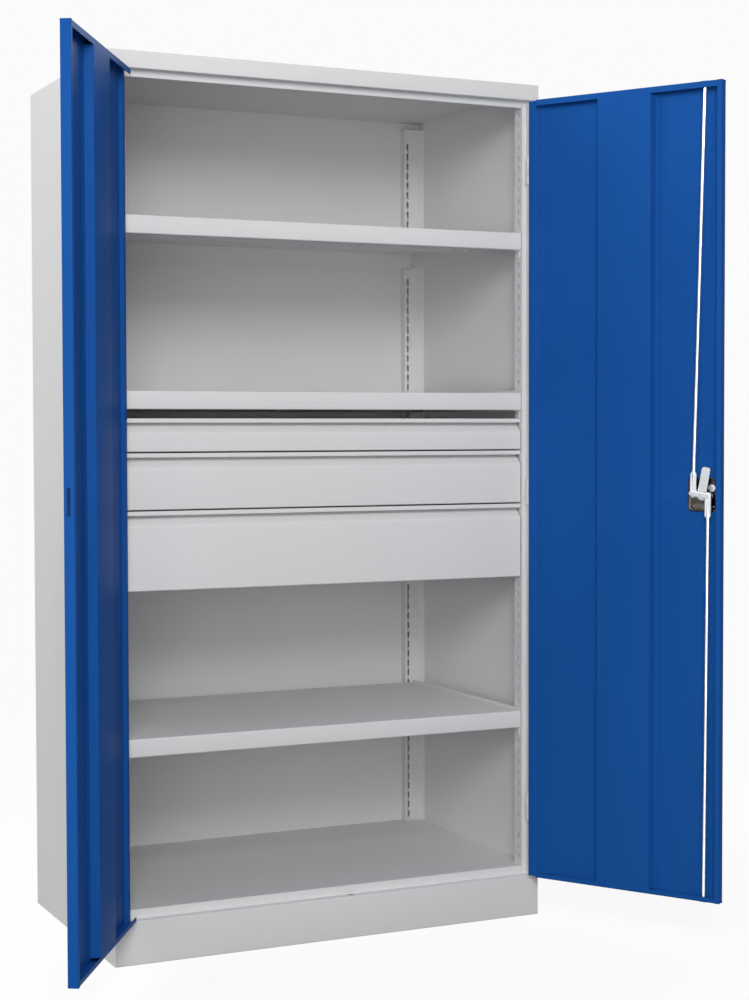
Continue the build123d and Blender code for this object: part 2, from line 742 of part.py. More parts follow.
with BuildPart() as cam_screw:
    with BuildSketch(LOCK.offset(TONGUE_TOP)):
        RegularPolygon(SCREW_RADIUS, 6)
    extrude(amount=SCREW_HEAD)
    chamfer(cam_screw.faces().sort_by(Axis(LOCK.origin, LOCK.z_dir))[-1].edges(), SCREW_HEAD / 5)
finish("cam_screw", cam_screw.part)

# Locking rods: each has a flat fork on its crank pin and a round bar to the door's flange
UPPER_GUIDE = (LOCK_TO_EDGE - UPPER_GUIDE_TO_EDGE, DOOR_TOP - ROD_TIP_MARGIN - LOCK_HEIGHT)
LOWER_GUIDE = (LOCK_TO_EDGE - LOWER_GUIDE_TO_EDGE, DOOR_BOTTOM + DOOR_SHEET / 2 - LOCK_HEIGHT)


def make_rod(name, crank, guide):
    """A rod from its crank pin to the middle of its guide slot."""
    across, along = guide[0] - crank[0], guide[1] - crank[1]
    length = (across**2 + along**2) ** 0.5
    lean = degrees(atan2(along, across))
    with BuildPart() as rod:
        with BuildSketch(LOCK.offset(FORK_BOTTOM)):
            with Locations(Location((*crank, 0), (0, 0, lean))):
                with Locations(((FORK_LENGTH - FORK_END) / 2, 0)):
                    Rectangle(FORK_LENGTH + FORK_END, FORK_WIDTH)
                Circle(CRANK_PIN_RADIUS + RUNNING_FIT, mode=Mode.SUBTRACT)
        extrude(amount=FORK_THICKNESS)
        upright = rod.edges().filter_by(Axis(LOCK.origin, LOCK.z_dir)).filter_by(GeomType.LINE)
        reach = LOCK.from_local_coords((guide[0], guide[1], ROD_LEVEL))
        chamfer(upright.sort_by_distance(reach)[:2], (FORK_WIDTH - 2 * ROD_RADIUS) / 2)
        start = LOCK.from_local_coords((*crank, ROD_LEVEL))
        bar = Plane(origin=start, x_dir=LOCK.z_dir, z_dir=(reach - start).normalized())
        with BuildSketch(bar.offset(FORK_LENGTH - 2 * ROD_RADIUS)):
            Circle(ROD_RADIUS)
        extrude(amount=length - FORK_LENGTH + 2 * ROD_RADIUS)
        chamfer(rod.edges().filter_by(GeomType.CIRCLE).sort_by_distance(reach)[0], ROD_TIP_CHAMFER)
    finish(name, rod.part)


make_rod("upper_rod", CRANK[0], UPPER_GUIDE)
make_rod("lower_rod", CRANK[1], LOWER_GUIDE)

# Escutcheon and turning handle on the outside, with a key cylinder in the handle
with BuildPart() as handle_escutcheon:
    with BuildSketch(LOCK):
        RectangleRounded(ESCUTCHEON[0], ESCUTCHEON[1], ESCUTCHEON_CORNER)
        Circle(SPINDLE_RADIUS + RUNNING_FIT, mode=Mode.SUBTRACT)
    extrude(amount=-ESCUTCHEON[2])
    outer = handle_escutcheon.faces().sort_by(Axis(LOCK.origin, LOCK.z_dir))[0]
    fillet(outer.outer_wire().edges(), ESCUTCHEON[2] / 3)
finish("handle_escutcheon", handle_escutcheon.part)

STEM_START = -ESCUTCHEON[2] - HANDLE_GAP
GRIP_START = STEM_START - HANDLE_STEM
GRIP_END = GRIP_START - GRIP[2]
with BuildPart() as handle:
    with BuildSketch(LOCK.offset(GRIP_START)):
        SlotOverall(GRIP[0], GRIP[1], rotation=-LOCK_TILT)
    extrude(amount=-GRIP[2])
    outer = handle.faces().sort_by(Axis(LOCK.origin, LOCK.z_dir))[0]
    fillet(outer.edges(), GRIP_FILLET)
    with BuildSketch(LOCK.offset(STEM_START)):
        Circle(HANDLE_HUB_RADIUS)
    extrude(amount=-HANDLE_STEM)
    with BuildSketch(LOCK.offset(GRIP_END)):
        Circle(KEY_RADIUS + 2 * KEY_CLEARANCE + KNUCKLE_GAP)
    extrude(amount=KEYWAY[2] / 6)
    with BuildSketch(LOCK.offset(GRIP_END)):
        Circle(KEY_RADIUS + KEY_CLEARANCE)
    extrude(amount=KEY_DEPTH, mode=Mode.SUBTRACT)
    with BuildSketch(LOCK.offset(STEM_START)):
        Circle(SPINDLE_RADIUS)
    extrude(amount=-(HANDLE_STEM / 2 - HANDLE_GAP), mode=Mode.SUBTRACT)
finish("handle", handle.part)

with BuildPart() as key_cylinder:
    with BuildSketch(LOCK.offset(GRIP_END)):
        Circle(KEY_RADIUS)
    extrude(amount=KEY_DEPTH - KEY_CLEARANCE)
    with BuildSketch(LOCK.offset(GRIP_END)):
        SlotOverall(KEYWAY[0], KEYWAY[1], rotation=90 - LOCK_TILT)
    extrude(amount=KEYWAY[2], mode=Mode.SUBTRACT)
finish("key_cylinder", key_cylinder.part)


def both_sides(shapes):
    """Right-hand solids and their left-hand twins, as one sub-part of separate solids."""
    with BuildPart() as pair:
        add(shapes)
        mirror(shapes, about=Plane.YZ)
    return pair.part


def make_rollers(name, y, z):
    """A left and a right roller on one line, each bored for its axle."""
    outer = POST_SIDE - ROLLER_TO_POST
    with BuildPart() as roller:
        with BuildSketch(Plane.YZ.offset(outer - ROLLER_WIDTH)):
            with Locations((y, z)):
                Circle(ROLLER_RADIUS)
        extrude(amount=ROLLER_WIDTH)
        fillet(roller.edges(), ROLLER_FILLET)
        with BuildSketch(Plane.YZ.offset(outer - ROLLER_WIDTH)):
            with Locations((y, z)):
                Circle(AXLE_RADIUS + RUNNING_FIT)
        extrude(amount=ROLLER_WIDTH, mode=Mode.SUBTRACT)
    finish(name, both_sides(roller.part))


def make_drawer(number, low, height):
    """One drawer: front, tray and rails, its cabinet runners and both pairs of rollers."""
    face, high = DRAWER_FACE, low + height
    with BuildPart() as front:
        extrude(
            bent_sheet(
                Plane.YZ.offset(-DRAWER_HALF),
                [
                    (face, high - GRIP_LIP),
                    (face, high),
                    (face + GRIP_DEPTH, high),
                    (face + GRIP_DEPTH, high - GRIP_NECK),
                    (face + DRAWER_SHEET, high - GRIP_FOOT),
                    (face + DRAWER_SHEET, low + DRAWER_SHEET),
                    (face + GRIP_DEPTH, low + DRAWER_SHEET),
                ],
                DRAWER_SHEET,
            ),
            amount=2 * DRAWER_HALF,
        )
    finish(f"drawer_{number}_front", front.part)

    tray_low, tray_high = low + TRAY_LIFT, high - TRAY_DROP
    crease = tray_low + CREASE_SHARE * (tray_high - tray_low)
    rib_height = min(RIB_HEIGHT, 2 * (crease - tray_low) - CREASE_HEIGHT)
    with BuildPart() as tray:
        with Locations((0, TRAY_FRONT, tray_low)):
            Box(
                2 * TRAY_HALF,
                TRAY_REAR - TRAY_FRONT,
                tray_high - tray_low,
                align=(Align.CENTER, Align.MIN, Align.MIN),
            )
        offset(amount=-TRAY_SHEET, openings=tray.faces().sort_by(Axis.Z)[-1])
        with BuildSketch(Plane.XY.offset(crease - rib_height / 2)):
            for side in (-1, 1):
                with Locations((side * TRAY_HALF, (TRAY_FRONT + TRAY_REAR) / 2)):
                    with GridLocations(0, RIB_PITCH, 1, RIB_COUNT):
                        Trapezoid(
                            RIB_WIDTH,
                            RIB_PROUD,
                            45,
                            rotation=-90 * side,
                            align=(Align.CENTER, Align.MIN),
                        )
        extrude(amount=rib_height)
        for side in (-1, 1):
            with Locations((side * TRAY_HALF, (TRAY_FRONT + TRAY_REAR) / 2, crease)):
                Box(2 * CREASE_PROUD - TRAY_SHEET, TRAY_REAR - TRAY_FRONT, CREASE_HEIGHT)
    finish(f"drawer_{number}_tray", tray.part)

    web = TRAY_HALF - RAIL_WEB_INSET + RAIL_SHEET
    roller_end = POST_SIDE - ROLLER_TO_POST
    rear_y = TRAY_REAR - REAR_ROLLER_SETBACK
    front_y = DRAWER_FACE + FRONT_ROLLER_SETBACK
    centre = low + ROLLER_CENTRE
    with BuildPart() as rail:
        extrude(
            bent_sheet(
                Plane.XZ.offset(-TRAY_REAR),
                [
                    (web - RAIL_SHEET + RAIL_TOP_REACH, tray_low - RAIL_SHEET),
                    (web, tray_low - RAIL_SHEET),
                    (web, low + RAIL_BOTTOM + RAIL_SHEET),
                    (web - RAIL_SHEET + RAIL_BOTTOM_REACH, low + RAIL_BOTTOM + RAIL_SHEET),
                ],
                RAIL_SHEET,
            ),
            amount=TRAY_REAR - DRAWER_FACE - 3 * DRAWER_SHEET,
        )
        with BuildSketch(Plane.YZ.offset(web)):
            with Locations((rear_y, centre)):
                Circle(AXLE_RADIUS)
        extrude(amount=roller_end + AXLE_END_GAP - web)
        with BuildSketch(Plane.YZ.offset(roller_end + AXLE_END_GAP)):
            with Locations((rear_y, centre)):
                Circle(AXLE_HEAD_RADIUS)
        extrude(amount=AXLE_HEAD)
    finish(f"drawer_{number}_rails", both_sides(rail.part))

    runner_web = POST_SIDE - RUNNER_SHEET
    inner_end = roller_end - ROLLER_WIDTH - AXLE_END_GAP
    runner_front = DRAWER_FACE + RUNNER_FRONT_SETBACK
    with BuildPart() as runner:
        extrude(
            bent_sheet(
                Plane.XZ.offset(-REAR_POST_FRONT),
                [
                    (POST_SIDE - RUNNER_TOP_FLANGE, low + RUNNER_TOP),
                    (POST_SIDE, low + RUNNER_TOP),
                    (POST_SIDE, low + RUNNER_BOTTOM),
                    (POST_SIDE - RUNNER_BOTTOM_FLANGE, low + RUNNER_BOTTOM),
                ],
                RUNNER_SHEET,
            ),
            amount=REAR_POST_FRONT - runner_front,
        )
        with BuildSketch(Plane.YZ.offset(runner_web)):
            with Locations((front_y, centre)):
                Circle(AXLE_RADIUS)
        extrude(amount=inner_end - runner_web)
        with BuildSketch(Plane.YZ.offset(inner_end)):
            with Locations((front_y, centre)):
                Circle(AXLE_HEAD_RADIUS)
        extrude(amount=-AXLE_HEAD)
    finish(f"drawer_{number}_runners", both_sides(runner.part))

    make_rollers(f"drawer_{number}_front_rollers", front_y, centre)
    make_rollers(f"drawer_{number}_rear_rollers", rear_y, centre)


# Drawers, stacked downwards from under the middle shelf
drawer_top = shelf_bottom(SHELF_STEPS["middle"]) - DRAWER_STACK_DROP
for drawer_number, drawer_height in enumerate(DRAWER_FRONTS, 1):
    make_drawer(drawer_number, drawer_top - drawer_height, drawer_height)
    drawer_top -= drawer_height + DRAWER_GAP
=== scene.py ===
import bmesh
import bpy
import numpy as np
from mathutils import Matrix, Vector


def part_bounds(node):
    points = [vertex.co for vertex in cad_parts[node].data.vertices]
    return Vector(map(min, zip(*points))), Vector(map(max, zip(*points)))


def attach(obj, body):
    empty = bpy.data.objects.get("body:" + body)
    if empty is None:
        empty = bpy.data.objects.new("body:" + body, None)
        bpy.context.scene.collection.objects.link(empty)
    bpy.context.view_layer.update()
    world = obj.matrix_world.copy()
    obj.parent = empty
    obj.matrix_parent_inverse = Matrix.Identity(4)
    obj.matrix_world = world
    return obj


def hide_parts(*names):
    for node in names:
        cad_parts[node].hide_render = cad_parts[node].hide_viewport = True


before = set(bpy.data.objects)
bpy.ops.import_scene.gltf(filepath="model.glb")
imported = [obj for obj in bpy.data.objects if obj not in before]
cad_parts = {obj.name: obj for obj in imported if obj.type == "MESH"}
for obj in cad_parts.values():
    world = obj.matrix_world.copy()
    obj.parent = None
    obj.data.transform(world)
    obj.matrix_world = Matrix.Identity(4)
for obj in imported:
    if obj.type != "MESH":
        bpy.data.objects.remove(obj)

bl_info = {
    "name": "Two-door storage cabinet",
    "version": (1, 0, 0),
    "blender": (4, 5, 0),
    "location": "3D View > Sidebar > Cabinet",
    "description": "Folded sheet panels, rod lock, drawers, paint and light for a storage cabinet",
    "category": "Object",
}

# Lengths are in millimetres, in the cabinet's own frame: +Z up, the front faces -Y.
MM = 0.001
UP = np.array((0.0, 0.0, 1.0))
FLIP = np.array((-1.0, 1.0, 1.0))
# The axes of a section drawn in Y and Z and carried along X.
ACROSS = (1, 2, 0)

# Body: its outer half width and the one inside the sheet, its faces, and its parts' levels.
CABINET = (np.zeros(3), np.eye(3))
HALF_WIDTH, INNER_HALF = 520.0, 518.8
FRONT, BEHIND_DOORS, BACK = -312.5, -290.5, 312.5
PLINTH_TOP, ROOF_BOTTOM, ROOF_TOP = 95.0, 1913.0, 1950.0
DRAWERS = (1, 2, 3)

# Doors: each has a frame of its own, X from its hinge edge, Y outwards and Z up.
OPENING = np.radians(121.0)
HINGE = np.array((493.5, FRONT, 0.0))
HINGE_TO_SKIN = 5.0
ALONG = np.array((-np.cos(OPENING), -np.sin(OPENING), 0.0))
OUTWARD = np.cross(UP, ALONG)
RIGHT_DOOR = (HINGE + HINGE_TO_SKIN * ALONG, np.array((ALONG, OUTWARD, UP)))
LEFT_DOOR = (RIGHT_DOOR[0] * FLIP, RIGHT_DOOR[1] * FLIP)
DOOR_WIDTH, DOOR_DEPTH = 487.0, 21.5
DOOR_BOTTOM, DOOR_TOP = 98.0, 1909.0
# Where the skin stops short of its corners, how deep the flange at the hinges is and how far
# the others are cut back beside it, where their lips end, and which levels the lips come to.
NOTCH = 3.0
HINGE_FLANGE, CUT_BACK = 9.0, 26.0
LIP_END = DOOR_WIDTH - 11.0
LIP_LEVELS = (DOOR_BOTTOM + 11.0, DOOR_TOP - 14.0)

# Lock: a frame on the right door, X to its free edge, Y up and Z inwards.
LOCK_X, LOCK_HEIGHT = 437.5, 1002.5
LOCK = (RIGHT_DOOR[0] + LOCK_X * ALONG + LOCK_HEIGHT * UP, np.array((ALONG, UP, -OUTWARD)))
CAM_LEAN, TONGUE_LEAN = np.radians((8.0, 11.0))
CRANK = 18.0
# Centre and radius of the holes that fit on the spindle and of those that it turns in.
FITTED_HOLE, FREE_HOLE = ((0, 0), 6.0), ((0, 0), 6.1)

# Looks: the name of a slot, and the finish that a piece takes.
BODY_PAINT = ("body_paint", "powder_coat_light_grey")
TRAY_PAINT = ("tray_paint", "powder_coat_light_grey")
DOOR_PAINT = ("door_paint", "powder_coat_gentian_blue")
# The lock case's dark colour is a painted reflection of dark surroundings, on chrome.
LOCK_PAINTED_REFLECTION = ("lock_chrome", "dark_chrome")
LOCK_BRIGHT = ("lock_chrome", "bright_plated_steel")
# Zinc, whose grey stands partly for painted shade on the cam's hub and the stop.
LOCK_ZINC_AND_SHADE = ("lock_chrome", "zinc_plated_steel")
ROD_ZINC = ("rod_zinc", "bright_zinc_plating")
HANDLE_PLASTIC = ("handle_plastic", "black_nylon")
ROLLER_NYLON = ("roller_nylon", "white_nylon")


# Surfaces


def quads(rows, columns, round_rows=False, round_columns=False):
    """Faces of a grid: each joins a point to the next in its row and in its column."""
    i = np.arange(rows if round_rows else rows - 1)[:, None]
    j = np.arange(columns if round_columns else columns - 1)[None]
    below, beside = (i + 1) % rows, (j + 1) % columns
    here, under = i * columns, below * columns
    return np.stack((here + j, here + beside, under + beside, under + j), -1).reshape(-1, 4)


def spokes(first, last, steps):
    """Unit vectors that turn from each first normal to its last one in even steps.

    The sine and the cosine of each turn come with them.
    """
    sine = first[:, 0] * last[:, 1] - first[:, 1] * last[:, 0]
    cosine = (first * last).sum(1)
    turn = np.arctan2(sine, cosine)[:, None] * np.linspace(0, 1, steps)
    turn += np.arctan2(first[:, 1], first[:, 0])[:, None]
    return np.stack((np.cos(turn), np.sin(turn)), -1), sine, cosine


def bent_sheet(points, sheet, radii=1.2, steps=5):
    """Both lines of a folded sheet's section, which lies to the right of its points.

    A bend is a pair of arcs about one centre, the inner one of the given radius. The centre is
    the corner moved along the sum of both runs' normals, divided by one plus their product.
    """
    points = np.asarray(points, float)
    run = np.diff(points, axis=0)
    run /= np.linalg.norm(run, axis=1)[:, None]
    normal = np.stack((-run[:, 1], run[:, 0]), 1)
    first, last = normal[:-1], normal[1:]
    spoke, sine, cosine = spokes(first, last, steps)
    side = np.where(sine > 0, -1.0, 1.0)
    radii = np.broadcast_to(np.asarray(radii, float), side.shape)
    reach = np.stack((radii + np.maximum(side, 0) * sheet, radii - np.minimum(side, 0) * sheet))
    centre = points[1:-1] - (side * reach[0] / (1 + cosine))[:, None] * (first + last)
    lines = []
    for radius, drop in zip(reach, (0, sheet)):
        arcs = centre[:, None] + (side * radius)[:, None, None] * spoke
        ends = points[[0, -1]] - drop * normal[[0, -1]]
        lines.append(np.concatenate((ends[:1], arcs.reshape(-1, 2), ends[1:])))
    return lines


def carried(section, low, high, order=(0, 1, 2)):
    """A section's two lines carried straight from low to high, closed at both ends.

    order says which axes the section's two coordinates and the carry run along.
    """
    left, right = section
    ring = np.concatenate((left, right[::-1]))
    count = len(ring)
    points = np.empty((2, count, 3))
    points[..., order[0]], points[..., order[1]] = ring[:, 0], ring[:, 1]
    points[..., order[2]] = np.array((low, high))[:, None]
    k = np.arange(len(left) - 1)
    cap = np.stack((k, k + 1, count - 2 - k, count - 1 - k), 1)
    return points.reshape(-1, 3), np.concatenate((quads(2, count, False, True), cap, cap + count))


def slab(low, high, edge=0.3):
    """A flat plate between two corners: rectangles stacked up its height, drawn in at its rims."""
    low, high = np.asarray(low, float), np.asarray(high, float)
    inset = np.array((1.0, edge, 0.0, 0.0, edge, 1.0))
    level = np.array((0.0, 0.0, edge, -edge, 0.0, 0.0)) + np.repeat((low[2], high[2]), 3)
    middle, half = (low + high)[:2] / 2, (high - low)[:2] / 2
    shrink = np.where((inset == 1.0)[:, None], 0.0, half - inset[:, None])
    rings = np.empty((6, 4, 3))
    rings[..., :2] = middle + shrink[:, None] * np.array(rectangle(-1, -1, 1, 1))
    rings[..., 2] = level[:, None]
    return rings.reshape(-1, 3), quads(6, 4, False, True)


def rectangle(left, low, right, high):
    """A rectangle's corners, counter-clockwise."""
    return [(left, low), (right, low), (right, high), (left, high)]


def rounded(corners, radii, steps=8):
    """A closed outline whose corners are arcs: the corner, moved in along both its edges'
    normals by the radius, is the centre, and the arc runs from one normal to the next."""
    corners = np.asarray(corners, float)
    run = np.roll(corners, -1, 0) - corners
    run /= np.linalg.norm(run, axis=1)[:, None]
    last = np.stack((run[:, 1], -run[:, 0]), 1)
    first = np.roll(last, 1, 0)
    spoke, _, cosine = spokes(first, last, steps)
    radii = np.broadcast_to(np.asarray(radii, float), cosine.shape)
    centre = corners - (radii / (1 + cosine))[:, None] * (first + last)
    return (centre[:, None] + radii[:, None, None] * spoke).reshape(-1, 2)


def swung(points, angle):
    """Points in the lock's plane turned about its spindle, from up towards the free edge."""
    turn = np.array(((np.cos(angle), -np.sin(angle)), (np.sin(angle), np.cos(angle))))
    return np.asarray(points, float) @ turn


def stamped(outline, section, hole):
    """A pressed plate with a round hole: its section is carried round the outline.

    Each of the section's points is (how far in from the outline, height). The last ring is the
    hole: the same directions from its centre, at its radius, at the two end heights.
    """
    outline = np.asarray(outline, float)
    centre, radius = hole
    ahead = np.roll(outline, -1, 0) - np.roll(outline, 1, 0)
    inward = np.stack((-ahead[:, 1], ahead[:, 0]), 1)
    inward /= np.maximum(np.linalg.norm(inward, axis=1), 1e-9)[:, None]
    section = np.asarray(section, float)
    rings = np.empty((len(section) + 2, len(outline), 3))
    rings[:-2, :, :2] = outline + section[:, 0, None, None] * inward
    rings[:-2, :, 2] = section[:, 1, None]
    spoke = outline - centre
    spoke /= np.linalg.norm(spoke, axis=1)[:, None]
    rings[-2:, :, :2] = centre + radius * spoke
    rings[-2:, :, 2] = section[[-1, 0], 1][:, None]
    return rings.reshape(-1, 3), quads(*rings.shape[:2], True, True)


def turned(profile, steps=24, closed=False, at=(0, 0, 0), order=(0, 1, 2)):
    """A turned part: each (radius, height) of its profile runs once round the axis."""
    profile = np.asarray(profile, float)
    angle = np.linspace(0, 2 * np.pi, steps, endpoint=False)
    rings = np.empty((len(profile), steps, 3))
    rings[..., order[0]] = profile[:, :1] * np.cos(angle)
    rings[..., order[1]] = profile[:, :1] * np.sin(angle)
    rings[..., order[2]] = profile[:, 1:]
    return (rings + at).reshape(-1, 3), quads(len(profile), steps, closed, True)


def skin_of(shells, place):
    """One mesh from shells: each is merged at its seams, and a closed one faces outwards."""
    origin, axes = place
    whole = bmesh.new()
    for points, faces in shells:
        mesh = bpy.data.meshes.new("shell")
        mesh.from_pydata(((origin + points @ axes) * MM).tolist(), [], faces.tolist())
        shell = bmesh.new()
        shell.from_mesh(mesh)
        bmesh.ops.remove_doubles(shell, verts=shell.verts, dist=2e-6)
        bmesh.ops.recalc_face_normals(shell, faces=shell.faces)
        shell.to_mesh(mesh)
        shell.free()
        whole.from_mesh(mesh)
        bpy.data.meshes.remove(mesh)
    mesh = bpy.data.meshes.new("skin")
    whole.to_mesh(mesh)
    whole.free()
    return mesh


def fused(first, others):
    """The union of two meshes, without the faces that lie inside or where shells meet.

    The second mesh may hold shells that touch or cross each other.
    """
    pair = [bpy.data.objects.new("shells", mesh) for mesh in (others, first)]
    for each in pair:
        bpy.context.scene.collection.objects.link(each)
    union = pair[0].modifiers.new("union", "BOOLEAN")
    union.operation, union.solver, union.use_self = "UNION", "EXACT", True
    union.object = pair[1]
    depsgraph = bpy.context.evaluated_depsgraph_get()
    mesh = bpy.data.meshes.new_from_object(pair[0].evaluated_get(depsgraph))
    for each in pair:
        bpy.data.objects.remove(each)
    bpy.data.meshes.remove(first)
    bpy.data.meshes.remove(others)
    skin = bmesh.new()
    skin.from_mesh(mesh)
    bmesh.ops.remove_doubles(skin, verts=skin.verts, dist=4e-6)
    bmesh.ops.dissolve_degenerate(skin, edges=skin.edges, dist=4e-6)
    skin.to_mesh(mesh)
    skin.free()
    return mesh


def make_piece(name, shells, place, body, look, *stands_for):
    """One object from closed shells, which become one skin."""
    slot, finish = look
    mesh = skin_of(shells[:1], place)
    if len(shells) > 1:
        mesh = fused(mesh, skin_of(shells[1:], place))
    mesh.name = name
    mesh.shade_smooth()
    mesh.set_sharp_from_angle(angle=np.radians(32))
    piece = bpy.data.objects.new(name, mesh)
    bpy.context.scene.collection.objects.link(piece)
    mesh.materials.append(bpy.data.materials[finish])
    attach(piece, body)
    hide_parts(*stands_for)


def part_box(name):
    """A CAD part's lowest and highest corners, in millimetres."""
    return [np.array(corner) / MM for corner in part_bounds(name)]


# Finishes


def linear(hex_colour):
    """An sRGB hex colour as the linear RGBA that shaders take."""
    value = np.array([int(hex_colour[k : k + 2], 16) for k in (1, 3, 5)]) / 255
    return (*np.where(value <= 0.04045, value / 12.92, ((value + 0.055) / 1.055) ** 2.4), 1.0)


def add_node(tree, kind, sockets=None, **settings):
    """Adds one node. sockets gives inputs a value or the output that they are linked to."""
    node = tree.nodes.new(kind)
    for name, value in settings.items():
        setattr(node, name, value)
    for key, value in (sockets or {}).items():
        if isinstance(value, bpy.types.NodeSocket):
            tree.links.new(value, node.inputs[key])
        else:
            node.inputs[key].default_value = value
    return node


def new_finish(name):
    """An empty material with its Object coordinates, shader and output."""
    material = bpy.data.materials.new(name)
    material.use_nodes = True
    tree = material.node_tree
    tree.nodes.clear()
    place = add_node(tree, "ShaderNodeTexCoord").outputs["Object"]
    shader = add_node(tree, "ShaderNodeBsdfPrincipled")
    add_node(tree, "ShaderNodeOutputMaterial", {"Surface": shader.outputs[0]})
    return tree, place, shader


def drift(tree, shader, share, colours, roughness=None, span=(0.3, 0.7)):
    """Colour, and roughness where it is given, that drift with a pattern's share of 0 to 1.

    Colour goes from the first to the second over shares of 0.3 to 0.7, roughness over span.
    """
    ramp = add_node(tree, "ShaderNodeValToRGB", {"Fac": share})
    for stop, position, colour in zip(ramp.color_ramp.elements, (0.3, 0.7), colours):
        stop.position, stop.color = position, colour
    tree.links.new(ramp.outputs["Color"], shader.inputs["Base Color"])
    if roughness:
        sockets = dict(zip(("From Min", "From Max", "To Min", "To Max"), (*span, *roughness)))
        gloss = add_node(tree, "ShaderNodeMapRange", {"Value": share, **sockets})
        tree.links.new(gloss.outputs["Result"], shader.inputs["Roughness"])


def relief(tree, shader, place, pitch, detail, strength, height):
    """A fine relief: noise with the given pitch in metres raises the surface as bump."""
    noise = add_node(
        tree, "ShaderNodeTexNoise", {"Vector": place, "Scale": 1 / pitch, "Detail": detail}
    )
    bump = add_node(
        tree,
        "ShaderNodeBump",
        {"Height": noise.outputs["Fac"], "Strength": strength, "Distance": height},
    )
    tree.links.new(bump.outputs["Normal"], shader.inputs["Normal"])


def powder_coat(name, colours, roughness, peel, shine):
    """Polyester powder coat, sprayed and baked: a satin film with a faint orange-peel ripple.

    The real ripple is about 2 mm across. It is drawn at 3 mm so that it shows at all. The
    film's thickness drifts over about 450 mm, and its colour and gloss with it.
    """
    tree, place, shader = new_finish(name)
    film = add_node(tree, "ShaderNodeTexNoise", {"Vector": place, "Scale": 2.2, "Detail": 2.0})
    drift(tree, shader, film.outputs["Fac"], colours, (roughness, roughness + 0.05))
    relief(tree, shader, place, 0.003, 1.0, peel, 0.0001)
    shader.inputs["IOR"].default_value = 1.5
    shader.inputs["Specular IOR Level"].default_value = shine


def plated_steel(name, colours, roughness, grain, depth):
    """Plated steel: a bright metal skin that keeps the rolled sheet's fine grain.

    The grain's real pitch is near 0.3 mm. The drawn one is coarser, so that it shows. Clouds
    about 18 mm across are a little darker and duller, as handled plating is.
    """
    tree, place, shader = new_finish(name)
    stretch = add_node(tree, "ShaderNodeMapping", {"Vector": place, "Scale": (1.0, 1.0, 0.12)})
    cloud = add_node(tree, "ShaderNodeTexNoise", {"Vector": place, "Scale": 55.0, "Detail": 2.0})
    drift(tree, shader, cloud.outputs["Fac"], colours, (roughness, roughness + 0.1))
    relief(tree, shader, stretch.outputs[0], grain, 2.0, depth, 0.00005)
    shader.inputs["Metallic"].default_value = 1.0


def galvanised_sheet(name, colours, roughness):
    """Hot-dip galvanised sheet: zinc crystals 9 mm across, each a little lighter or duller."""
    tree, place, shader = new_finish(name)
    spangle = add_node(
        tree, "ShaderNodeTexVoronoi", {"Vector": place, "Scale": 1 / 0.009, "Randomness": 1.0}
    )
    share = add_node(tree, "ShaderNodeSeparateColor", {"Color": spangle.outputs["Color"]})
    drift(tree, shader, share.outputs["Red"], colours, roughness, (0.0, 1.0))
    shader.inputs["Metallic"].default_value = 1.0


def moulded_nylon(name, colours, roughness, glow):
    """Injection-moulded nylon: a nearly even colour, with clouds about 25 mm across.

    Its spark-eroded grain is finer than 0.5 mm, and is drawn at 1.5 mm so that it shows.
    """
    tree, place, shader = new_finish(name)
    cloud = add_node(tree, "ShaderNodeTexNoise", {"Vector": place, "Scale": 40.0, "Detail": 2.0})
    drift(tree, shader, cloud.outputs["Fac"], colours)
    relief(tree, shader, place, 0.0015, 1.0, 0.15, 0.0001)
    shader.inputs["Roughness"].default_value = roughness
    shader.inputs["IOR"].default_value = 1.53
    shader.inputs["Subsurface Weight"].default_value = glow
    shader.inputs["Subsurface Scale"].default_value = 0.003


# Sizes, colours and light that a user may change


def size_property(name, description, size, least, most):
    """A size in millimetres that a user may change."""
    return bpy.props.FloatProperty(
        name=name, description=description, default=size, min=least, max=most, precision=2
    )


def colour_property(name, description, hex_colour):
    """A colour that a user may change, whose default is an sRGB hex value."""
    return bpy.props.FloatVectorProperty(
        name=name,
        description=description,
        default=linear(hex_colour),
        subtype="COLOR",
        size=4,
        min=0.0,
        max=1.0,
    )


def power_property(name, description, power):
    """A lamp's power, which a user may change."""
    return bpy.props.FloatProperty(
        name=name, description=description, default=power, min=0.0, unit="POWER"
    )


class CabinetSizes(bpy.types.PropertyGroup):
    """Sizes of the folded and pressed sheet, in millimetres."""

    sheet: size_property("Sheet", "Thickness of the folded panels, in mm", 1.2, 0.5, 3.0)
    bend: size_property("Bend", "Inner radius of the panels' bends, in mm", 1.4, 0.2, 4.0)
    rib_depth: size_property(
        "Rib depth", "How far the drawer sides' ribs stand out, in mm", 2.5, 0.5, 2.5
    )


class CabinetColours(bpy.types.PropertyGroup):
    """Colours of the finishes, whose defaults are sRGB hex values."""

    body: colour_property("Body", "Light grey powder coat of body, shelves and drawers", "#DBDBDB")
    door: colour_property("Doors", "Gentian blue powder coat of the doors", "#19519B")
    plating: colour_property("Plating", "Bright plating of tongue, spindle and key", "#E0E2E4")
    # Its dark default is a painted reflection of dark surroundings, on chrome.
    case: colour_property("Lock case", "Dark chrome of the lock's case and its screws", "#55514C")
    rods: colour_property("Rods", "Bright zinc of the locking rods", "#F8F9FA")
    # Zinc's grey, also used partly as painted shade on the cam's hub and the stop.
    zinc: colour_property("Zinc", "Zinc plating of the lock's cam, stop and screw", "#C3C6CA")
    handle: colour_property("Handle", "Black nylon of the handle and its plate", "#1A1A1C")
    roller: colour_property("Rollers", "White nylon of the drawers' rollers", "#E6E4DD")


